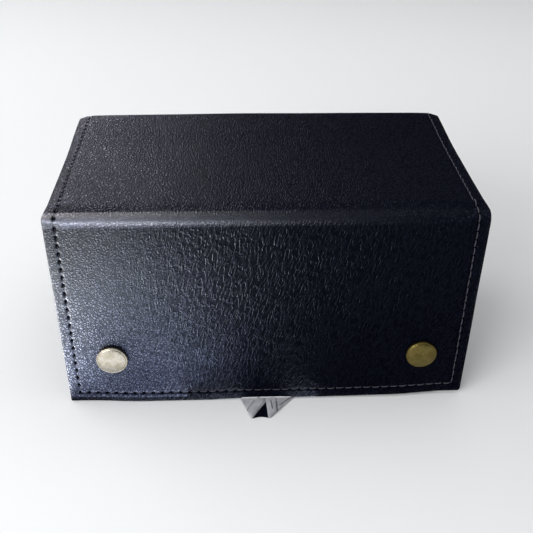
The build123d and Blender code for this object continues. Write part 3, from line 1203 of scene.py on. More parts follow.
@dataclass(frozen=True)
class Sheet:
    """One closed sheet of leather or suede along a stretch of the cover."""

    plan: Plan
    seam: Seam
    settling: Settling
    side: Side
    first: float
    last: float
    edge_radius: float = 0.33
    rim_steps: int = 3
    left_corner: float = 0.6
    right_corner: float = 1.7
    row_step: float = 0.75
    columns_each_stitch: float = 4.0
    fold_rows: int = 29
    nearest: float = 0.05
    swell: float = 0.10
    swell_wave: float = 58.0
    swell_reach: float = 9.0
    pull_through: float = 0.7
    board_clear: float = 0.1
    board_slope: float = 1.1
    edge_wear: float = 0.55
    ridge_wear: float = 0.10
    ridge_width: float = 3.4

    @property
    def free_start(self) -> bool:
        """Whether the sheet begins at the cover's own edge."""
        return self.first <= 0.0

    @property
    def free_end(self) -> bool:
        """Whether the sheet ends at the cover's own edge."""
        return self.last >= self.plan.length

    def lift(self, x: Array, along: Array) -> Array:
        """How far the stiffening board holds the lining up off the leather.

        Args:
            x: Distance to the right of the middle.
            along: Distance along the cover.

        Returns:
            The height of the lift.
        """
        plan = self.plan
        clear = self.board_clear
        reach = clear + self.board_slope
        lift = ease(np.abs(x), plan.board_half_width + reach, plan.board_half_width + clear)
        total = np.zeros(np.broadcast(x, along).shape)
        for name in PANELS:
            run = plan.runs[name]
            start = run.start + (plan.edge_setback if name == "base" else plan.fold_setback)
            end = run.end - (plan.edge_setback if name == "flap" else plan.fold_setback)
            rise = ease(along, start - reach, start - clear)
            total = total + rise * ease(along, end + reach, end + clear)
        return plan.board * lift * total

    def faces_at(self, x: Array, along: Array) -> tuple[Array, Array]:
        """Depth of the sheet's outer and inner face below the cover's true outside.

        Args:
            x: Distance to the right of the middle.
            along: Distance along the cover.

        Returns:
            Both depths.
        """
        plan = self.plan
        pull = self.seam.pull(x, along)
        if self.side is Side.OUTER:
            swell = self.swell + self.swell * ripple(x, along, self.swell_wave, 0.7)
            return pull - swell * self._inside(x, along), plan.leather + 0.0 * pull
        lift = self.lift(x, along)
        return plan.leather + lift, plan.sheets + lift - self.pull_through * pull

    def _inside(self, x: Array, along: Array) -> Array:
        """1 over the boards, falling to 0 at the stitched margins.

        Args:
            x: Distance to the right of the middle.
            along: Distance along the cover.

        Returns:
            The value of each place.
        """
        middle = self.plan.length / 2.0
        inset = self.seam.inset
        across = ease(np.abs(x), self.seam.side, self.seam.side - self.swell_reach)
        from_middle = np.abs(along - middle)
        return across * ease(from_middle, middle - inset, middle - (inset + self.swell_reach))

    def _rows(self) -> tuple[Array, Array]:
        """Distances along the cover of the sheet's rows, and how much each is thinned.

        Returns:
            The distances in order, and the thinning of each.
        """
        pitch = self.seam.side_pitch
        step = pitch / max(1, round(pitch / self.row_step))
        count = int((self.last - self.first) / step) + 2
        number = np.arange(count + 2) + math.ceil((self.first - self.seam.first) / step)
        rows = self.seam.first + number * step
        beside = np.array([0.25, 0.5, 0.85, 1.3])
        extra = [rows]
        for line in (self.seam.first, self.seam.last):
            extra.append(line + np.concatenate([-beside[::-1], beside]))
        for run in self.plan.runs.values():
            if run.radius:
                extra.append(np.linspace(run.start, run.end, self.fold_rows))
        start, start_thin = self._end_rows(self.free_start)
        end, end_thin = self._end_rows(self.free_end)
        rows = np.sort(np.concatenate(extra))
        rows = rows[rows > self.first + start[-1] + self.nearest]
        rows = rows[rows < self.last - end[-1] - self.nearest]
        rows = rows[np.concatenate([[True], np.diff(rows) > self.nearest])]
        all_rows = np.concatenate([self.first + start, rows, (self.last - end)[::-1]])
        return all_rows, np.concatenate([start_thin, np.zeros(len(rows)), end_thin[::-1]])

    def _end_rows(self, free: bool) -> tuple[Array, Array]:
        """Rows next to an end of the sheet, from the end inwards: distance from it, and thinning.

        Args:
            free: Whether this is the cover's own edge.

        Returns:
            The distances and the thinning.
        """
        if not free:
            return np.zeros(1), np.zeros(1)
        angles = np.linspace(QUARTER, 0.0, self.rim_steps + 1)
        distance = self.edge_radius * (1.0 - np.sin(angles))
        thin = self.edge_radius * (1.0 - np.cos(angles))
        further = np.array([0.6, 0.9, 1.3, 1.8])
        return np.concatenate([distance, further]), np.concatenate([thin, 0.0 * further])

    def _loop(self) -> tuple[Array, Array, Array]:
        """One ring of the sheet: x, whether on the inner face, and thinning of each point.

        Returns:
            The three values of each point, in order round the ring.
        """
        half = self.plan.half_width - self.edge_radius
        steps = np.array([0.3, 0.6, 0.9, 1.3, 1.9])
        margin = np.array([0.0, *steps, 2.9, 3.8])
        fine = np.concatenate([self.seam.side - steps[::-1], self.seam.side + margin, [half]])
        pitch = self.seam.end_pitch / self.columns_each_stitch
        count = int((fine[0] - self.nearest) / pitch)
        columns = np.concatenate([-fine[::-1], pitch * np.arange(-count, count + 1), fine])
        angles = np.linspace(0.0, QUARTER, self.rim_steps + 1)[1:]
        rim_x = half + self.edge_radius * np.sin(angles)
        rim_thin = self.edge_radius * (1.0 - np.cos(angles))
        rim_x, rim_thin = (np.concatenate([rim, rim[::-1]]) for rim in (rim_x, rim_thin))
        rim_side = np.repeat([0.0, 1.0], self.rim_steps)
        count = len(columns)
        x = np.concatenate([columns, rim_x, columns[::-1], -rim_x])
        inner = np.concatenate([np.zeros(count), rim_side, np.ones(count), rim_side[::-1]])
        thin = np.concatenate([np.zeros(count), rim_thin, np.zeros(count), rim_thin])
        return x, inner, thin

    def _narrowed(self, x: Array, rows: Array) -> Array:
        """The columns drawn in where the free edge's corners are rounded.

        Args:
            x: The x of each point of a ring.
            rows: Distance along the cover of each row.

        Returns:
            The x of each point.
        """
        from_edge = np.full(rows.shape, np.inf)
        if self.free_start:
            from_edge = np.minimum(from_edge, rows - self.first)
        if self.free_end:
            from_edge = np.minimum(from_edge, self.last - rows)
        half = self.plan.half_width
        scales = []
        for radius in (self.left_corner, self.right_corner):
            into = np.clip(radius - from_edge, 0.0, radius)
            scales.append(1.0 - (radius - np.sqrt(radius**2 - into**2)) / half)
        left, right = (scale[:, None] for scale in scales)
        return np.where(x[None, :] < 0.0, x[None, :] * left, x[None, :] * right)

    def build(self, name: str) -> bpy.types.Object:
        """Builds the sheet as one closed mesh.

        Args:
            name: Name of the piece.

        Returns:
            The piece.
        """
        rows, row_thin = self._rows()
        loop_x, inner, loop_thin = self._loop()
        x = self._narrowed(loop_x, rows)
        along = np.broadcast_to(rows[:, None], x.shape)
        thin = np.maximum(row_thin[:, None], loop_thin[None, :])
        outer_depth, inner_depth = self.faces_at(x, along)
        depth = np.where(inner[None, :] < 0.5, outer_depth + thin, inner_depth - thin)
        points = self.plan.point(x, along, depth)
        points = points + self.settling.shift(points)
        ring = len(loop_x)
        faces: list[tuple[int, ...]] = list(Mesher.band(len(rows), ring))
        faces += self._cap(0, True) + self._cap((len(rows) - 1) * ring, False)
        surface = np.stack([x, along], axis=-1).reshape(-1, 2)
        marks = {
            WEAR_AND_HIGHLIGHT: self._wear(x, along),
            PAINTED_SHADE_MARK: self.seam.pressed(x, along),
            POLISHED: self._ridges(along),
        }
        return Mesher.build(name, points.reshape(-1, 3), faces, surface, marks)

    def _cap(self, first: int, flipped: bool) -> list[tuple[int, ...]]:
        """Faces that close one end of the sheet, between its two faces.

        Args:
            first: Number of the end ring's first vertex.
            flipped: Whether to turn the faces over.

        Returns:
            The faces.
        """
        rim = 2 * self.rim_steps
        count = (len(self._loop()[0]) - 2 * rim) // 2
        outer = np.arange(count)
        under = count + rim + (count - 1 - outer)
        faces = [(outer[k], outer[k + 1], under[k + 1], under[k]) for k in range(count - 1)]
        right = (outer[-1], *range(count, count + rim), under[-1])
        left = (under[0], *range(2 * count + rim, 2 * count + 2 * rim), outer[0])
        polygons = [tuple(int(first + k) for k in face) for face in (*faces, right, left)]
        return [face[::-1] for face in polygons] if flipped else polygons

    def _wear(self, x: Array, along: Array) -> Array:
        """Rubbed along the free edges and the ridges of the folds.

        Args:
            x: Distance to the right of the middle.
            along: Distance along the cover.

        Returns:
            The wear of each place, from 0 to 1.
        """
        edge = self.plan.half_width - np.abs(x)
        ends = np.minimum(along, self.plan.length - along)
        worn = self.edge_wear * np.exp(-np.minimum(edge, ends) / 0.55)
        return np.clip(np.maximum(worn, self.ridge_wear * self._ridges(along)), 0.0, 1.0)

    def _ridges(self, along: Array) -> Array:
        """1 on the ridges of the folds, which handling has smoothed, falling to 0 beside them.

        Args:
            along: Distance along the cover.

        Returns:
            The value of each place.
        """
        ridges = np.zeros(along.shape)
        for fold in FOLDS:
            run = self.plan.runs[fold.run]
            away = along - (run.start + run.end) / 2.0
            ridges = np.maximum(ridges, np.exp(-((away / self.ridge_width) ** 2)))
        return ridges


@dataclass(frozen=True)
class Stitches:
    """Threads of the seam: each stitch a bent, tapered run of thread that dives into its holes."""

    plan: Plan
    seam: Seam
    settling: Settling
    radius: float = 0.30
    end_radius: float = 0.24
    sunk: Pair = (-0.85, -0.5)
    tight: float = -0.46
    slack: float = 0.10
    edge_line: Pair = (-0.36, -0.13)
    slant: float = 0.22
    gap: float = 0.09
    loop_at: Pair = (93.0, -49.0)
    loop: float = 1.0
    rings: int = 9
    sides: int = 8

    def build(self, name: str, side: Side, first: float, last: float) -> bpy.types.Object:
        """Builds the stitches whose middle lies on a stretch of the cover.

        Args:
            name: Name of the piece.
            side: Which face of the cover they show on.
            first: Where the stretch starts.
            last: Where it ends.

        Returns:
            The piece, one closed tube for each stitch.
        """
        middle = {stitch: (stitch[1] + stitch[3]) / 2.0 for stitch in self.seam.stitches()}
        chosen = [stitch for stitch, along in middle.items() if first <= along < last]
        points, faces, surface = [], [], []
        for number, stitch in enumerate(chosen):
            tube, flat = self._tube(stitch, side, number)
            start = number * self.rings * self.sides
            points.append(tube)
            surface.append(flat)
            faces += Mesher.band(self.rings, self.sides, start)
            faces.append(tuple(range(start + self.sides - 1, start - 1, -1)))
            top = start + (self.rings - 1) * self.sides
            faces.append(tuple(range(top, top + self.sides)))
        return Mesher.build(name, np.concatenate(points), faces, np.concatenate(surface))

    def _tube(self, stitch: Stitch, side: Side, number: int) -> tuple[Array, Array]:
        """Points of one stitch, and their places on the unrolled thread.

        Args:
            stitch: Its two ends.
            side: Which face it shows on.
            number: Its number, which makes it uneven.

        Returns:
            Both, in the same order.
        """
        share = np.linspace(0.0, 1.0, self.rings)
        x0, s0, x1, s1 = stitch
        run = self.gap + (1.0 - 2.0 * self.gap) * share
        along_side = abs(s1 - s0) > abs(x1 - x0)
        uneven = 0.10 * math.sin(2.4 * number) + 0.05 * math.sin(5.1 * number + 1.0)
        drift = self.slant * (0.5 - run) + uneven * np.sin(math.pi * run)
        x = x0 + (x1 - x0) * run + (drift if along_side else 0.0)
        along = s0 + (s1 - s0) * run + (0.0 if along_side else drift)
        arch = 1.0 - (2.0 * share - 1.0) ** (4 if along_side else 2)
        end, middle = self._heights(stitch)
        height = end + (middle - end) * arch
        depth = -height if side is Side.OUTER else self.plan.sheets + height
        centre = self.plan.point(x, along, depth)
        centre = centre + self.settling.shift(centre)
        tangent = np.gradient(centre, axis=0)
        tangent /= np.linalg.norm(tangent, axis=1)[:, None]
        above = self.plan.point(x, along, depth - 1.0) - self.plan.point(x, along, depth)
        across = np.cross(tangent, above)
        across /= np.linalg.norm(across, axis=1)[:, None]
        upright = np.cross(across, tangent)
        radius = self.end_radius + (self.radius - self.end_radius) * np.sin(math.pi * share)
        turn = np.linspace(0.0, 2.0 * math.pi, self.sides, endpoint=False)
        ring = across[:, None, :] * np.cos(turn)[None, :, None]
        ring = ring + upright[:, None, :] * np.sin(turn)[None, :, None]
        tube = centre[:, None, :] + radius[:, None, None] * ring
        length = max(abs(s1 - s0), abs(x1 - x0))
        flat = np.broadcast_arrays(turn[None, :] * self.radius, share[:, None] * length)
        return tube.reshape(-1, 3), np.stack(flat, axis=-1).reshape(-1, 2)

    def _heights(self, stitch: Stitch) -> Pair:
        """How high a stitch stands: tight at the left, slacker to the right, and one looped.

        Args:
            stitch: Its two ends.

        Returns:
            The height of its ends and of its middle above the face.
        """
        x = (stitch[0] + stitch[2]) / 2.0
        along = (stitch[1] + stitch[3]) / 2.0
        share = float(ease(np.array(x), -self.seam.side, self.seam.side))
        end = self.sunk[0] + (self.sunk[1] - self.sunk[0]) * share
        if along < self.plan.runs["base"].end:
            return end, self.tight
        loop_x, loop_y = self.loop_at
        loop_along = self.plan.runs["lid"].start + self.plan.fold_start - loop_y
        if abs(x - loop_x) < 1.0 and abs(along - loop_along) < self.seam.side_pitch / 2.0:
            return end, self.loop
        low, high = (self.tight, self.slack) if stitch[0] == stitch[2] else self.edge_line
        return end, low + (high - low) * share


@dataclass(frozen=True)
class Cover:
    """The stitched wrap-round cover: leather outside, suede inside, and its threads."""

    plan: Plan
    seam: Seam
    settling: Settling
    finishes: Finishes
    fold_overlap: float = 0.3

    def build(self) -> None:
        """Builds every panel and every fold."""
        for name in PANELS:
            run = self.plan.runs[name]
            first = 0.0 if name == "base" else run.start + self.fold_overlap
            last = self.plan.length if name == "flap" else run.end - self.fold_overlap
            pieces = self._pieces(name, first, last)
            nodes = (name + "_cover", name + "_lining", name + "_stitching", name + "_stitching")
            for piece, node in zip(pieces, nodes):
                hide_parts(node)
                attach(piece, name)
            self._dress_board(name)
        for fold in FOLDS:
            run = self.plan.runs[fold.run]
            overlap = self.fold_overlap
            pieces = self._pieces(fold.run, run.start - overlap, run.end + overlap)
            start, end = self._bend_between(run)
            for piece in pieces:
                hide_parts(fold.run)
                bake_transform(piece)
                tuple(start)
                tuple(end)

    def _pieces(self, name: str, first: float, last: float) -> list[bpy.types.Object]:
        """Leather, suede and threads of one stretch.

        Args:
            name: Name of the stretch.
            first: Where it starts along the cover.
            last: Where it ends.

        Returns:
            The four pieces.
        """
        columns = 4.0 if name in ("base", "flap") else 1.33
        shared = (self.plan, self.seam, self.settling)
        leather = Sheet(*shared, Side.OUTER, first, last, columns_each_stitch=columns)
        coarser = {"edge_radius": 0.26, "row_step": 1.13, "columns_each_stitch": 1.33}
        suede = Sheet(*shared, Side.INNER, first, last, **coarser)
        stitches = Stitches(*shared)
        first_stitch, last_stitch = self._thread_stretch(name)
        made = [
            Finishes.dress(leather.build(name + "_leather"), self.finishes.cover, "cover_leather"),
            Finishes.dress(suede.build(name + "_suede"), self.finishes.suede, "suede"),
        ]
        for side, word in ((Side.OUTER, "outer"), (Side.INNER, "inner")):
            threads = stitches.build(f"{name}_{word}_threads", side, first_stitch, last_stitch)
            made.append(Finishes.dress(threads, self.finishes.thread, "thread"))
        log.info("%s: leather, suede and threads", name)
        return made

    def _thread_stretch(self, name: str) -> Pair:
        """Where the middles of a run's stitches lie: a fold takes every stitch that reaches it.

        Args:
            name: Name of the run.

        Returns:
            Start and end along the cover.
        """
        run = self.plan.runs[name]
        reach = self.seam.side_pitch / 2.0
        if run.radius:
            return run.start - reach, run.end + reach
        first = -math.inf if name == "base" else run.start + reach
        last = math.inf if name == "flap" else run.end - reach
        return first, last

    def _bend_between(self, run: Run) -> tuple[Vector, Vector]:
        """Points on the fold's inner face at its two ends, in metres.

        Args:
            run: The fold's run.

        Returns:
            Both points.
        """
        depth = np.array([self.plan.sheets, self.plan.sheets])
        ends = self.plan.point(np.zeros(2), np.array([run.start, run.end]), depth)
        return Vector(ends[0]) * METRE, Vector(ends[1]) * METRE

    def _dress_board(self, name: str) -> None:
        """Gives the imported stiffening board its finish."""
        Finishes.dress(frame["nodes"][name + "_board"], self.finishes.board, "board")


@dataclass(frozen=True)
class Loops:
    """A closed shell lofted through rounded rectangles, each given by its inset and height."""

    centre: Pair
    half: Pair
    corner: float
    least_corner: float = 0.3
    corner_steps: int = 6
    side_steps: int = 24

    def ring(self, inset: float, height: float) -> Array:
        """One rounded rectangle.

        Args:
            inset: How far it lies inside the outermost one.
            height: Its z.

        Returns:
            Its points, in order.
        """
        radius = max(self.corner - inset, self.least_corner)
        reach = np.array(self.half) - inset - radius
        shares = np.linspace(0.0, 1.0, self.side_steps + 1)[1:-1]
        signs = np.array([(1.0, 1.0), (-1.0, 1.0), (-1.0, -1.0), (1.0, -1.0)])
        points: list[Array] = []
        for number, sign in enumerate(signs):
            turns = number * QUARTER + np.linspace(0.0, QUARTER, self.corner_steps + 1)
            arc = sign * reach + radius * np.column_stack([np.cos(turns), np.sin(turns)])
            last = radius * np.array([math.cos(turns[-1]), math.sin(turns[-1])])
            after = signs[(number + 1) % 4] * reach + last
            points.extend(arc)
            points.extend(arc[-1] + (after - arc[-1]) * share for share in shares)
        flat = np.array(points) + np.array(self.centre)
        return np.column_stack([flat, np.full(len(flat), height)])

    def shell(self, name: str, path: Outline, capped: bool) -> bpy.types.Object:
        """Lofts a shell.

        Args:
            name: Name of the piece.
            path: Inset and height of each ring in order.
            capped: True to fill the first and last ring, False to join them into a hollow wall.

        Returns:
            The piece.
        """
        rings = [self.ring(inset, height) for inset, height in path]
        count = len(rings[0])
        kept = len(rings) * count
        faces: list[tuple[int, ...]] = list(Mesher.band(len(rings) + (not capped), count))
        faces = [tuple(number % kept for number in face) for face in faces]
        if capped:
            faces.append(tuple(range(count - 1, -1, -1)))
            faces.append(tuple(range(kept - count, kept)))
        around = np.linspace(0.0, 4.0 * sum(self.half), count, endpoint=False)
        steps = [math.dist(a, b) for a, b in zip(path, path[1:])]
        down = np.concatenate([[0.0], np.cumsum(steps)])
        surface = np.array([(u, v) for v in down for u in around])
        return Mesher.build(name, np.concatenate(rings), faces, surface)


@dataclass(frozen=True)
class Tray:
    """A divided tray: leather skin, board shell, suede lining and a sleeved divider."""

    which: str
    body: str
    finishes: Finishes
    skin_edge: float = 0.28
    floor_round: float = 1.6
    rim_drop: float = 0.55
    sleeve_round: float = 1.2
    sleeve_wave: float = 0.22
    sleeve_steps: int = 70
    curve_steps: int = 6

    def build(self) -> None:
        """Builds the skin, the lining and the divider's sleeve, and dresses the boards."""
        low, high = corners(f"{self.which}_tray_skin")
        shell_low, _ = corners(f"{self.which}_tray_shell")
        lining = corners(f"{self.which}_tray_lining")
        sleeve = corners(f"{self.which}_divider_sleeve")
        up, under = (1.0, 0) if self.which == "lower" else (-1.0, 1)
        floor = (low, high)[under].z
        height = high.z - low.z
        skin = shell_low.x - low.x
        board = lining[under].z * up - floor * up
        lane_floor = sleeve[under].z * up - floor * up
        centre = ((low.x + high.x) / 2.0, (low.y + high.y) / 2.0)
        half = ((high.x - low.x) / 2.0, (high.y - low.y) / 2.0)
        skin_path = self._skin_path(height, skin)
        lining_path = self._lining_path(height, skin, board, lane_floor)
        tray, suede = self.finishes.tray, self.finishes.tray_suede
        shells = (
            ("tray_skin", Loops(centre, half, 1.2), skin_path, False, tray, "tray_leather"),
            ("tray_lining", Loops(centre, half, 1.2, 1.3), lining_path, True, suede, "suede"),
        )
        for word, loops, path, capped, finish, slot in shells:
            placed = [(inset, floor + up * rise) for inset, rise in path]
            node = f"{self.which}_{word}"
            piece = loops.shell(f"{node}_soft", placed, capped)
            Finishes.stand_in(piece, finish, slot, node, self.body)
        node = f"{self.which}_divider_sleeve"
        Finishes.stand_in(self._sleeve(*sleeve, up), suede, "suede", node, self.body)
        for node in ("tray_shell", "divider_board"):
            Finishes.dress(frame["nodes"][f"{self.which}_{node}"], self.finishes.board, "board")
        log.info("%s tray: skin, lining and divider", self.which)

    def _skin_path(self, height: float, skin: float) -> list[Pair]:
        """The skin's section: up the outside, over a softened rim and down the inside.

        Args:
            height: The tray's height.
            skin: The skin's thickness.

        Returns:
            Inset and height of each point.
        """
        edge, inner_edge = self.skin_edge, 0.12
        turns = np.linspace(0.0, QUARTER, self.curve_steps)
        over = [(edge - edge * math.cos(t), height - edge + edge * math.sin(t)) for t in turns]
        outside = [(0.0, level) for level in np.linspace(0.0, height - edge, 9)[:-1]]
        inside = [(skin - inner_edge, height), (skin, height - inner_edge), (skin, 0.0)]
        return [*outside, *over, *inside]

    def _lining_path(
        self, height: float, skin: float, board: float, lane_floor: float
    ) -> list[Pair]:
        """The lining's section: from the floor up the wall, over the rolled rim and back behind.

        Args:
            height: The tray's height.
            skin: The skin's thickness.
            board: Height of the lining's underside.
            lane_floor: Height of the floor.

        Returns:
            Inset and height of each point.
        """
        curve, drop = self.floor_round, self.rim_drop
        wall = skin + lane_floor
        turns = np.linspace(0.0, QUARTER, self.curve_steps)
        path = [(wall + curve + 3.0, lane_floor)]
        for t in turns:
            rise = curve * (1.0 - math.cos(t))
            path.append((wall + curve * (1.0 - math.sin(t)), lane_floor + rise))
        path += [(wall, level) for level in np.linspace(lane_floor + curve, height - drop, 8)[1:-1]]
        middle, reach = (wall + skin) / 2.0, (wall - skin) / 2.0
        for t in np.linspace(0.0, math.pi, 2 * self.curve_steps):
            path.append((middle + reach * math.cos(t), height - drop * (1.0 - math.sin(t))))
        behind = wall - (lane_floor - board)
        under_rim = height - drop - 0.03
        return [*path, (skin, under_rim), (behind, under_rim), (behind, board)]

    def _sleeve(self, low: Vector, high: Vector, up: float) -> bpy.types.Object:
        """The suede sleeve of the divider, with a rounded crest and a slightly wandering line.

        Args:
            low: Lowest corner of its node.
            high: Highest corner of its node.
            up: 1 where the tray opens upwards, -1 where it opens down.

        Returns:
            The piece.
        """
        floor, crest = (low.z, high.z) if up > 0.0 else (high.z, low.z)
        tall = abs(crest - floor)
        half, middle = (high.y - low.y) / 2.0, (high.y + low.y) / 2.0
        curve = min(self.sleeve_round, half - 0.01)
        turns = np.linspace(0.0, math.pi, 2 * self.curve_steps)
        flat = half - curve
        section = [(half, level) for level in np.linspace(0.0, tall - curve, 8)[:-1]]
        for t in turns:
            across = flat * np.sign(math.cos(t)) + curve * math.cos(t)
            section.append((across, tall - curve + curve * math.sin(t)))
        section += [(-half, level) for level in np.linspace(0.0, tall - curve, 8)[:-1][::-1]]
        places = np.linspace(low.x, high.x, self.sleeve_steps)
        side, rise = np.array(section).T
        x = np.repeat(places[:, None], len(section), axis=1)
        sway = self.sleeve_wave * ripple(x, rise[None, :], 84.0, 0.4) * (rise / tall)[None, :]
        z = np.broadcast_to(floor + up * rise[None, :], x.shape)
        points = np.stack([x, middle + side[None, :] + sway, z], axis=-1)
        count = len(section)
        faces: list[tuple[int, ...]] = list(Mesher.band(len(places), count))
        faces.append(tuple(range(count - 1, -1, -1)))
        faces.append(tuple(range((len(places) - 1) * count, len(places) * count)))
        run = np.broadcast_to(np.arange(count) * 1.0, x.shape)
        surface = np.stack([x, run], axis=-1).reshape(-1, 2)
        points = points.reshape(-1, 3)
        return Mesher.build(f"{self.which}_divider_sleeve_soft", points, faces, surface)


@dataclass(frozen=True)
class Lathe:
    """A turned piece whose axis points at the front of the box."""

    outline: Outline
    hollow: bool = False
    segments: int = 56
    wear_reach: float = 1.6

    def build(self, name: str, place: Triple, worn_from: float | None) -> bpy.types.Object:
        """Turns the outline.

        Args:
            name: Name of the piece.
            place: Where radius 0 and height 0 lie.
            worn_from: Radius at which the finish begins to age, if it does.

        Returns:
            The piece.
        """
        outline = list(self.outline)
        if not self.hollow:
            outline = [point for point in outline if point[0] > 0.0]
        radius, height = np.array(outline).T
        turn = np.linspace(0.0, 2.0 * math.pi, self.segments, endpoint=False)
        x = radius[:, None] * np.cos(turn)[None, :]
        z = radius[:, None] * np.sin(turn)[None, :]
        y = np.broadcast_to(-height[:, None], x.shape)
        points = np.stack([x, y, z], axis=-1).reshape(-1, 3)
        rows = len(outline)
        kept = rows * self.segments
        faces: list[tuple[int, ...]] = list(Mesher.band(rows + self.hollow, self.segments))
        faces = [tuple(number % kept for number in face) for face in faces]
        if not self.hollow:
            ends = [[0.0, -self.outline[k][1], 0.0] for k in (0, -1)]
            points = np.concatenate([points, ends])
            for k in range(self.segments):
                after = (k + 1) % self.segments
                faces.append((kept, after, k))
                last = kept - self.segments
                faces.append((kept + 1, last + k, last + after))
        reach = np.hypot(points[:, 0], points[:, 2])
        wear = 0.0 * reach
        if worn_from is not None:
            wear = ease(reach, worn_from, worn_from + self.wear_reach)
        surface = np.column_stack([points[:, 0], points[:, 2]])
        return Mesher.build(name, points + np.array(place), faces, surface, {WEAR_AND_HIGHLIGHT: wear})


@dataclass(frozen=True)
class Snap:
    """One press snap: domed cap with its post, gripping socket, stud and the stud's post."""

    which: str
    finishes: Finishes
    rim_bead: float = 0.42
    dome_edge: float = 6.72
    dome_drop: float = 1.08
    bead_valley: float = 0.10
    skirt: float = 1.55
    lip: float = 0.12
    flange: float = 0.5
    hole: float = 1.8
    shank: float = 1.7

    def build(self) -> None:
        """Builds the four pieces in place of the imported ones."""
        low, high, radius, deep = {}, {}, {}, {}
        for word in ("cap", "socket", "stud", "post"):
            low[word], high[word] = corners(f"snap_{word}_{self.which}")
            radius[word] = (high[word].x - low[word].x) / 2.0
            deep[word] = high[word].y - low[word].y
        x, z = ((low["cap"][k] + high["cap"][k]) / 2.0 for k in (0, 2))
        face = -corners("back_cover")[1].y
        cap = self._cap_outline(radius["cap"], face - low["cap"].y, face - high["cap"].y)
        socket = self._socket_outline(radius["socket"], deep["socket"])
        stud = self._stud_outline(radius["stud"], deep["stud"])
        post = self._post_outline(radius["post"], deep["post"])
        cap_finish, finish = self.finishes.caps[self.which], self.finishes.snap
        aging = self.dome_edge - 1.0
        made = (
            ("cap", Lathe(cap, segments=96), face, aging, cap_finish, "cap_brass", "flap"),
            ("socket", Lathe(socket, True), low["socket"].y, None, finish, "snap_brass", "flap"),
            ("stud", Lathe(stud, True), high["stud"].y, None, finish, "snap_brass", "base"),
            ("post", Lathe(post), high["post"].y, None, finish, "snap_brass", "base"),
        )
        for word, lathe, y, worn_from, material, slot, body in made:
            node = f"snap_{word}_{self.which}"
            piece = lathe.build(f"{node}_turned", (x, y, z), worn_from)
            Finishes.stand_in(piece, material, slot, node, body)
        log.info("%s snap: cap, socket, stud and post", self.which)

    def _cap_outline(self, radius: float, height: float, tail: float) -> list[Pair]:
        """Dome, valley, rolled bead, flat back, post and flare of the cap.

        Args:
            radius: Radius of the bead.
            height: How far the dome stands in front of the flap.
            tail: How far the post's end stands in front of it, below 0 behind the flap.

        Returns:
            Radius and height of each point.
        """
        drop, bead = self.dome_drop, self.rim_bead
        dome = (self.dome_edge**2 + drop**2) / (2.0 * drop)
        radii = np.linspace(0.0, self.dome_edge, 15)
        outline = [(float(r), height - dome + math.sqrt(dome**2 - r**2)) for r in radii]
        outline.append((self.dome_edge + 0.08, height - drop - self.bead_valley))
        inner = radius - bead
        for low, first, last in ((self.skirt, 112.0, 4.0), (bead + 0.06, -4.0, -90.0)):
            for turn in np.radians(np.linspace(first, last, 9)):
                outline.append((inner + bead * math.cos(turn), low + bead * math.sin(turn)))
        post, flare = self.shank, 2.5
        outline += [(post, 0.06), (post, tail + 0.5)]
        return [*outline, (flare, tail + 0.42), (flare, tail), (0.0, tail)]

    def _flange(self, radius: float) -> list[Pair]:
        """Section of a flat ring: out from its hole, round its rim and onto its far face.

        Args:
            radius: Radius of the rim.

        Returns:
            Radius and height of each point.
        """
        lip, thick = self.lip, self.flange
        near = [(self.hole, 0.0), (radius - lip, 0.0), (radius, lip)]
        return [*near, (radius, thick - lip), (radius - lip, thick)]

    def _socket_outline(self, radius: float, height: float) -> list[Pair]:
        """Flange and gripping ring of the socket, from the flap inwards.

        Args:
            radius: Radius of the flange.
            height: Length along the axis.

        Returns:
            Radius and height of each point.
        """
        bore, ring, flange, lip = 3.4, radius - 0.75, self.flange, self.lip
        section = [
            *self._flange(radius), (ring, flange), (ring, height - 0.5),
            (ring - 0.15, height - 0.2), (ring - 0.45, height), (bore + lip, height),
            (bore, height - lip), (bore, flange), (self.hole, flange),
        ]
        return [(r, height - h) for r, h in section]

    def _stud_outline(self, radius: float, height: float) -> list[Pair]:
        """Flange, neck and rounded head of the stud.

        Args:
            radius: Radius of the flange.
            height: Length along the axis.

        Returns:
            Radius and height of each point.
        """
        neck, head, flange, lip = 2.3, 3.0, self.flange, self.lip
        return [
            *self._flange(radius), (neck + lip, flange), (neck, flange + lip), (neck, 0.85),
            (neck + 0.2, 1.0), (head - lip, 1.05), (head, 1.2), (head - 0.05, 1.4),
            (head - 0.25, height - 0.12), (neck, height), (self.hole, height),
        ]

    def _post_outline(self, radius: float, length: float) -> list[Pair]:
        """Flat rounded head and shank of the stud's post.

        Args:
            radius: Radius of the head.
            length: Length along the axis.

        Returns:
            Radius and height of each point.
        """
        head, lip, shank = 0.6, 0.25, self.shank
        turns = np.radians(np.linspace(90.0, 0.0, 6))
        rounded = [(radius - lip + lip * math.cos(t), lip - lip * math.sin(t)) for t in turns]
        return [
            (0.0, 0.0), (radius - lip, 0.0), *rounded[1:], (radius, head - 0.08),
            (radius - 0.08, head), (shank, head), (shank, length - 0.2), (shank - 0.2, length),
            (0.0, length),
        ]


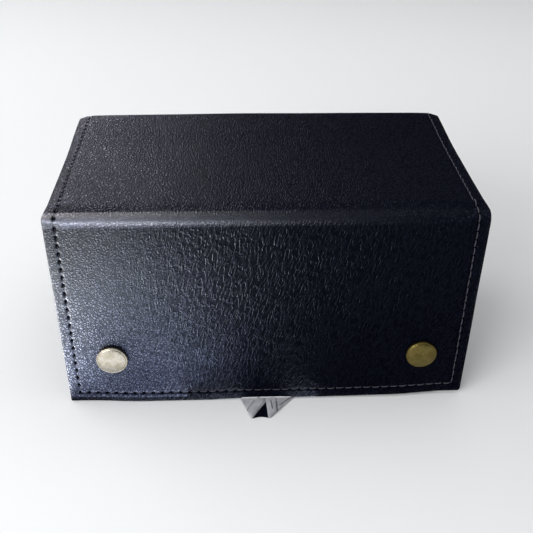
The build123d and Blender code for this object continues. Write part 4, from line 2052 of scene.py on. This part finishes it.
@dataclass(frozen=True)
class Patch:
    """A soft strip lying in front of the flap, between two edges of (x, distance forward)."""

    left: Outline
    right: Outline
    low: float
    thick: float
    puff: float = 0.0
    front_bay: float = 0.0
    # pale paints a highlight on the strip, and shade paints shade on it.
    pale: float = 0.0
    shade: float = 0.0
    columns: int = 35
    rows: int = 47

    @staticmethod
    def _read(edge: Outline, share: Array) -> Array:
        """Points at equal shares of an edge's length.

        Args:
            edge: The edge.
            share: Shares of its length, from 0 to 1.

        Returns:
            The points.
        """
        places = np.array(edge)
        steps = np.concatenate([[0.0], np.cumsum(np.linalg.norm(np.diff(places, axis=0), axis=1))])
        return np.column_stack([np.interp(share * steps[-1], steps, places[:, k]) for k in (0, 1)])

    def grids(self, face: float) -> tuple[Array, Array]:
        """The strip's upper and lower face as grids of points.

        Args:
            face: How far the flap's outside stands in front of the box's middle.

        Returns:
            Both grids.
        """
        across = np.linspace(0.0, 1.0, self.columns)
        along = np.linspace(0.0, 1.0, self.rows)
        first, last = self._read(self.left, along), self._read(self.right, along)
        flat = first[:, None, :] + (last - first)[:, None, :] * across[None, :, None]
        u, v = np.meshgrid(2.0 * across - 1.0, 2.0 * along - 1.0)
        bay = self.front_bay * np.cos(u * QUARTER) * ease(v, 0.2, 1.0)
        rim = 0.35 + 0.65 * ((1.0 - u**8) * (1.0 - v**8)) ** 0.4
        swell = self.puff * np.cos(u * QUARTER) * (1.0 - 0.6 * v**2)
        ripples = 0.05 * ripple(flat[..., 0], flat[..., 1], 5.0, self.low * 9.0)
        x, y = flat[..., 0], -face - flat[..., 1] + bay
        upper = np.stack([x, y, self.low + self.thick * rim + swell + ripples * rim], axis=-1)
        lower = np.stack([x, y, np.full(x.shape, self.low)], axis=-1)
        return upper, lower


@dataclass(frozen=True)
class PullTab:
    """The small folded ribbon under the flap's lower edge, and the leather tongue in its notch."""

    plan: Plan
    finishes: Finishes
    apex: Pair = (-0.8, 4.0)
    root: float = -2.2
    reach: float = 15.8
    low: float = 0.62
    thick: float = 0.42
    band_thick: float = 0.5
    puff: float = 0.35
    ribbon: Pair = (15.0, 46.0)
    leg_thick: float = 0.4
    leg_foot: float = 0.5
    leg_top: float = 7.0
    crease_width: float = 0.34
    # Lines along which shade is painted on the ribbon.
    creases: tuple[Outline, ...] = (
        ((-10.5, 11.0), (-6.7, 3.6)),
        ((4.5, 4.6), (4.6, 11.8)),
        ((5.8, 7.4), (11.3, 2.1)),
        ((11.9, 1.7), (12.5, 1.3)),
        ((-4.5, 1.9), (-4.0, 1.2)),
        ((2.0, 1.2), (2.2, 0.6)),
        ((1.6, 4.4), (2.2, 10.5)),
    )

    def build(self) -> None:
        """Builds the ribbon and the tongue."""
        sheets = self.plan.sheets
        leg = self._leg((-14.0, 13.3), 31, sheets)
        ribbon = self._piece("pull_tab_ribbon", self._strips(), leg, self.creases)
        Finishes.stand_in(ribbon, self.finishes.ribbon, "ribbon", "pull_tab", "flap")
        tuple(side * METRE for side in self.ribbon)
        start = self.root - 0.4
        strip = Patch(
            [(-6.5, start), (-6.9, 6.0), (-7.75, self.reach - 0.1)],
            [(5.5, start), (3.5, 6.0), (0.2, self.reach - 0.3)],
            0.2, self.thick, 0.12, front_bay=0.9,
        )
        leg = self._leg((-6.5, 5.5), 15, sheets + self.leg_thick)
        tongue = self._piece("pull_tab_leather", [strip], leg, ())
        cover = self.finishes.cover
        Finishes.stand_in(tongue, cover, "cover_leather", "pull_tab_tongue", "flap")
        log.info("pull tab: ribbon and tongue")

    def _strips(self) -> list[Patch]:
        """The ribbon's two wings, the two bands and the fold on them, and the roll at its root.

        Returns:
            The strips, from the lowest.
        """
        root, reach, low, thick = self.root, self.reach, self.low, self.thick
        apex_root = (self.apex[0], root)
        left_wing = Patch(
            [(-14.0, root), (-14.0, 0.2), (-8.4, reach)], [apex_root, self.apex, (-7.7, reach)],
            low, thick,
        )
        right_wing = Patch(
            [apex_root, self.apex, (-0.1, reach)], [(13.3, root), (13.3, 0.7), (0.9, reach)],
            low, thick,
        )
        left_band = Patch(
            [(-5.9, 1.4), (-10.3, 10.4), (-8.3, reach - 0.1)],
            [(-1.5, 1.6), (-1.7, 4.2), (-7.6, reach - 0.3)],
            low + 0.38, self.band_thick, self.puff,
        )
        # The right band and the right fold carry painted shade.
        right_band = Patch(
            [(-0.3, 1.6), (-0.35, 4.2), (0.1, reach - 0.4)],
            [(4.4, 1.2), (4.3, 11.6), (0.95, reach - 0.2)],
            low + 0.38, self.band_thick, self.puff, shade=0.08,
        )
        right_fold = Patch(
            [(4.9, 1.2), (4.8, 5.0), (4.6, 10.6)], [(12.4, 0.9), (8.8, 5.2), (5.2, 10.9)],
            low + 0.25, 0.32, 0.15, shade=0.22,
        )
        # The roll at the root carries a painted highlight.
        roll = Patch(
            [(-13.6, -1.2), (-12.9, 1.9)], [(13.0, -1.2), (12.3, 1.7)],
            low + 0.62, thick, 0.12, pale=0.9, columns=61, rows=11,
        )
        return [left_wing, right_wing, left_band, right_band, right_fold, roll]

    def _leg(self, across: Pair, columns: int, depth: float) -> tuple[Array, Array]:
        """The upright end behind the flap's stitched edge, where a strip is sewn on.

        Args:
            across: Its x at the left and at the right.
            columns: Points across it.
            depth: How far behind the flap's outside it stands.

        Returns:
            Its back and its front as grids of points.
        """
        left, right = ([(x, 0.0), (x, 1.0)] for x in across)
        flat, _ = Patch(left, right, 0.0, self.leg_thick, columns=columns, rows=9).grids(0.0)
        rise = self.leg_foot + (self.leg_top - self.leg_foot) * -flat[..., 1]
        back = -self.plan.half_depth + depth
        front = np.stack([flat[..., 0], np.full(rise.shape, back), rise], axis=-1)
        return front + np.array([0.0, self.leg_thick, 0.0]), front

    def _piece(
        self,
        name: str,
        patches: Sequence[Patch],
        leg: tuple[Array, Array],
        creases: Sequence[Outline],
    ) -> bpy.types.Object:
        """Joins closed strips into one piece.

        Args:
            name: Name of the piece.
            patches: The strips that lie in front of the flap.
            leg: Back and front of the upright end.
            creases: Two ends of each crease.

        Returns:
            The piece.
        """
        points, faces, surface = [], [], []
        grids = [patch.grids(self.plan.half_depth) for patch in patches] + [leg]
        pale, shade = [], []
        start = 0
        for (upper, lower), patch in zip(grids, (*patches, None)):
            rows, columns = upper.shape[:2]
            count = rows * columns
            points += [upper.reshape(-1, 3), lower.reshape(-1, 3)]
            pale.append(np.full(2 * count, patch.pale if patch else 0.0))
            shade.append(np.full(2 * count, patch.shade if patch else 0.0))
            flat = np.column_stack([upper[..., 0].ravel(), (upper[..., 1] - upper[..., 2]).ravel()])
            surface += [flat, flat]
            faces += self._slab(rows, columns, start, start + count)
            start += 2 * count
        places = np.concatenate(points)
        # The first mark carries the roll's painted highlight; the second paints shade in the
        # creases and on the shaded strips.
        marks = {
            WEAR_AND_HIGHLIGHT: np.concatenate(pale),
            PAINTED_SHADE_MARK: np.maximum(self._creased(places, creases), np.concatenate(shade)),
        }
        return Mesher.build(name, places, faces, np.concatenate(surface), marks)

    def _creased(self, places: Array, creases: Sequence[Outline]) -> Array:
        """1 in the creases, falling to 0 beside them.

        Args:
            places: Rows of x, y and z.
            creases: Two ends of each crease.

        Returns:
            The value of each point.
        """
        flat = np.column_stack([places[:, 0], -self.plan.half_depth - places[:, 1]])
        found = np.zeros(len(flat))
        for start, end in creases:
            first, run = np.array(start), np.array(end) - np.array(start)
            share = np.clip((flat - first) @ run / (run @ run), 0.0, 1.0)
            away = np.linalg.norm(flat - first - share[:, None] * run, axis=1)
            found = np.maximum(found, np.exp(-((away / self.crease_width) ** 2)))
        return found

    @staticmethod
    def _slab(rows: int, columns: int, top: int, under: int) -> list[tuple[int, ...]]:
        """Faces of a closed slab between two grids.

        Args:
            rows: Rows of each grid.
            columns: Columns of each grid.
            top: Number of the upper grid's first vertex.
            under: Number of the lower grid's first vertex.

        Returns:
            The faces.
        """
        faces = []
        for j in range(rows - 1):
            for i in range(columns - 1):
                a = j * columns + i
                quad = (a, a + columns, a + columns + 1, a + 1)
                faces.append(tuple(top + k for k in quad))
                faces.append(tuple(under + k for k in quad[::-1]))
        ring = list(range(columns))
        ring += [j * columns + columns - 1 for j in range(1, rows)]
        ring += [(rows - 1) * columns + i for i in range(columns - 2, -1, -1)]
        ring += [j * columns for j in range(rows - 2, 0, -1)]
        for a, b in zip(ring, ring[1:] + ring[:1]):
            faces.append((top + a, top + b, under + b, under + a))
        return faces


@dataclass(frozen=True)
class Lamp:
    """A soft rectangular lamp aimed at a point, in millimetres.

    A lamp that gleams on something shows only as a reflection in those finishes or pieces, and
    leaves the light level as it is.
    """

    name: str
    place: Triple
    aim: Triple
    size: Pair
    power: float
    colour: Colour = (1.0, 1.0, 1.0)
    spread: float = 180.0
    gleams_on: tuple[str, ...] = ()

    def build(self) -> None:
        """Adds the lamp."""
        data = bpy.data.lights.new(self.name, "AREA")
        data.shape = "RECTANGLE"
        data.size, data.size_y = (side * METRE for side in self.size)
        data.energy = self.power
        data.color = self.colour
        data.spread = math.radians(self.spread)
        lamp = bpy.data.objects.new(self.name, data)
        lamp.visible_camera = False
        lamp.visible_diffuse = not self.gleams_on
        lamp.location = Vector(self.place) * METRE
        towards = (Vector(self.aim) - Vector(self.place)).normalized()
        lamp.rotation_mode = "QUATERNION"
        lamp.rotation_quaternion = towards.to_track_quat("-Z", "Y")
        bpy.context.scene.collection.objects.link(lamp)
        if self.gleams_on:
            lamp.light_linking.receiver_collection = self._receivers()

    def _receivers(self) -> bpy.types.Collection:
        """The pieces that take the gleam, by their own name or their finish's.

        Returns:
            A new collection of them.
        """
        receivers = bpy.data.collections.new(f"{self.name}_receivers")
        for piece in bpy.data.objects:
            finishes = [slot.material.name for slot in piece.material_slots if slot.material]
            if any(name.startswith(self.gleams_on) for name in (piece.name, *finishes)):
                receivers.objects.link(piece)
        return receivers


def table_gleam(
    name: str,
    place: Triple,
    size: Pair,
    power: float,
    colour: Colour,
    spread: float = 164.0,
    gleams_on: tuple[str, ...] = LEATHERS,
) -> Lamp:
    """A gleam lamp that lies on the table and faces up, as the bright table does.

    Args:
        name: Name of the lamp.
        place: Its middle.
        size: Its sides.
        power: Its power.
        colour: Its colour.
        spread: Its spread in degrees.
        gleams_on: Where it shows.

    Returns:
        The lamp.
    """
    above = (place[0], place[1] + 1.0, 200.0)
    return Lamp(name, place, above, size, power, colour, spread, gleams_on)


def fold_gleam(
    name: str,
    place: Triple,
    size: Pair,
    power: float,
    colour: Colour,
    aim_x: float = -145.0,
    spread: float = 60.0,
) -> Lamp:
    """A gleam lamp aimed past the left end of the top front fold.

    Args:
        name: Name of the lamp.
        place: Its middle.
        size: Its sides.
        power: Its power.
        colour: Its colour.
        aim_x: The x that it is aimed at.
        spread: Its spread in degrees.

    Returns:
        The lamp.
    """
    return Lamp(name, place, (aim_x, -57.0, 103.0), size, power, colour, spread, FRONT_FOLD)


@dataclass(frozen=True)
class Studio:
    """The photograph's viewpoint, a pale table, a pale room and soft lamps."""

    place: Triple = (-15.19, -379.66, 277.14)
    pitch: float = math.radians(31.81)
    yaw: float = math.radians(2.543)
    roll: float = math.radians(0.473)
    focal_pixels: float = 832.37
    image_pixels: float = 533.0
    sensor: float = 36.0
    clip: Pair = (0.01, 50.0)
    table_size: float = 8000.0
    # The table is painted paler towards the back: a painted light gradient.
    table_near: Colour = (0.755, 0.760, 0.765)
    table_far: Colour = (0.955, 0.960, 0.965)
    table_fade: Pair = (-0.15, 0.65)
    table_mottle: Triple = (180.0, 180.0, 180.0)
    room_left: Colour = (0.36, 0.366, 0.378)
    room_right: Colour = (0.145, 0.148, 0.154)
    room_turn: Pair = (-0.55, 0.35)
    lamps: tuple[Lamp, ...] = (
        Lamp("ceiling", (300.0, -150.0, 1400.0), (301.0, -149.0, 0.0), (1500.0, 1500.0), 10.2),
        Lamp(
            "window", (-1000.0, 350.0, 700.0), (0.0, 150.0, 0.0), (1500.0, 700.0), 7.4,
            (0.98, 0.99, 1.0),
        ),
        Lamp(
            "front", (-700.0, -850.0, 600.0), (0.0, 0.0, 30.0), (800.0, 560.0), 12.6,
            (0.98, 0.99, 1.0),
        ),
        table_gleam("left_gleam", (-161.0, -81.0, 3.0), (42.0, 46.0), 4.6, (1.0, 0.99, 0.98)),
        table_gleam("table_gleam", (-120.0, -78.0, 3.0), (40.0, 40.0), 1.30, (0.94, 0.97, 1.0)),
        table_gleam("side_gleam", (-98.0, -128.0, 3.0), (26.0, 110.0), 1.25, (0.84, 0.92, 1.0)),
        table_gleam("middle_gleam", (-80.0, -118.0, 3.0), (40.0, 40.0), 0.32, (0.90, 0.94, 1.0)),
        table_gleam("near_gleam", (-70.0, -78.0, 3.0), (60.0, 40.0), 0.36, (0.78, 0.84, 1.0)),
        table_gleam("edge_gleam", (-75.0, -63.5, 0.5), (200.0, 9.0), 0.07, (0.90, 0.93, 1.0)),
        table_gleam("tab_gleam", (-40.0, -90.0, 0.5), (40.0, 20.0), 0.19, (0.72, 0.79, 1.0)),
        fold_gleam(
            "fold_gleam", (-185.0, -355.0, 225.0), (130.0, 130.0), 6.6, (1.0, 0.93, 0.85),
            spread=50.0,
        ),
        fold_gleam(
            "fold_low_gleam", (-150.0, -380.0, 120.0), (160.0, 130.0), 2.6, (1.0, 0.95, 0.90),
            aim_x=-130.0, spread=50.0,
        ),
        fold_gleam("high_gleam", (-190.0, -170.0, 410.0), (130.0, 200.0), 2.8, (1.0, 0.94, 0.86)),
        fold_gleam("top_gleam", (-190.0, 60.0, 400.0), (130.0, 260.0), 3.7, (1.0, 0.90, 0.78)),
        Lamp(
            "wall_gleam", (-300.0, 420.0, 330.0), (-190.0, 0.0, 105.0), (130.0, 130.0), 0.46,
            (0.93, 0.88, 1.0), 60.0, LEATHERS,
        ),
        Lamp(
            "wall_middle_gleam", (-180.0, 450.0, 330.0), (-120.0, 0.0, 105.0), (130.0, 130.0), 0.22,
            (0.86, 0.85, 1.0), 60.0, LEATHERS,
        ),
        table_gleam(
            "cap_gleam", (-190.0, -205.0, 3.0), (290.0, 260.0), 0.16, (1.0, 0.99, 0.98), 180.0, CAPS
        ),
        Lamp(
            "cap_window", (-330.0, -330.0, 160.0), (75.0, -58.0, 27.0), (150.0, 150.0), 0.35,
            gleams_on=CAPS,
        ),
    )

    def build(self) -> None:
        """Builds the camera, the table, the room and the lamps."""
        self._camera()
        self._table()
        self._room()
        for lamp in self.lamps:
            lamp.build()
        log.info("studio: camera, table, room and %d lamps", len(self.lamps))

    def _camera(self) -> None:
        """Places the camera at the photograph's viewpoint."""
        flat = math.cos(self.pitch)
        forward = Vector(
            (math.sin(self.yaw) * flat, math.cos(self.yaw) * flat, -math.sin(self.pitch))
        )
        right = Vector((math.cos(self.yaw), -math.sin(self.yaw), 0.0))
        up = right.cross(forward)
        turned_right = right * math.cos(self.roll) + up * math.sin(self.roll)
        turned_up = up * math.cos(self.roll) - right * math.sin(self.roll)
        data = bpy.data.cameras.new("photograph_view")
        data.sensor_width = self.sensor
        data.lens = self.focal_pixels / self.image_pixels * self.sensor
        data.clip_start, data.clip_end = self.clip
        camera = bpy.data.objects.new("photograph_view", data)
        axes = Matrix((turned_right, turned_up, -forward)).transposed().to_4x4()
        axes.translation = Vector(self.place) * METRE
        camera.matrix_world = axes
        bpy.context.scene.collection.objects.link(camera)
        bpy.context.scene.camera = camera

    def _table(self) -> None:
        """Lays the pale table that the box stands on."""
        half = self.table_size / 2.0 * METRE
        mesh = bpy.data.meshes.new("table")
        signs = ((-1.0, -1.0), (1.0, -1.0), (1.0, 1.0), (-1.0, 1.0))
        mesh.from_pydata([(half * x, half * y, 0.0) for x, y in signs], [], [(0, 1, 2, 3)])
        table = bpy.data.objects.new("table", mesh)
        bpy.context.scene.collection.objects.link(table)
        graph = Graph.named("table_top")
        place = graph.object_place()
        mottle = graph.noise(graph.placed(place, 0.0, self.table_mottle), 3.0, 0.5)
        # The fade is a painted light gradient, paler towards the back.
        depth = graph.axis(place, "Y").eased(*self.table_fade)
        tone = (depth + 0.08 * (mottle - 0.5)).limited()
        finish = {
            "Base Color": graph.mix(tone, self.table_near, self.table_far),
            "Roughness": 0.62,
            "Specular IOR Level": 0.3,
        }
        mesh.materials.append(graph.finish(finish))

    def _room(self) -> None:
        """Lights the room: bright on the left, darker on the right."""
        world = bpy.data.worlds.new("room")
        graph = Graph(world)
        side = graph.axis(graph.node("ShaderNodeTexCoord", {}, {}, "Generated"), "X")
        colour = graph.mix(side.eased(*self.room_turn), self.room_left, self.room_right)
        background = graph.node("ShaderNodeBackground", {}, {"Color": colour})
        graph.close("ShaderNodeOutputWorld", background)
        bpy.context.scene.world = world


def main() -> None:
    """Builds and dresses the whole box, then the studio round it."""
    logging.basicConfig(level=logging.INFO, format="%(name)s: %(message)s")
    plan = Plan()
    seam = Seam(plan)
    settling = Settling(plan)
    finishes = Finishes()
    Cover(plan, seam, settling, finishes).build()
    Tray("lower", "base", finishes).build()
    Tray("upper", "lid", finishes).build()
    for which in ("left", "right"):
        Snap(which, finishes).build()
    PullTab(plan, finishes).build()
    Studio().build()
    bpy.context.scene.view_settings.view_transform = "Standard"


if __name__ == "__main__":
    main()
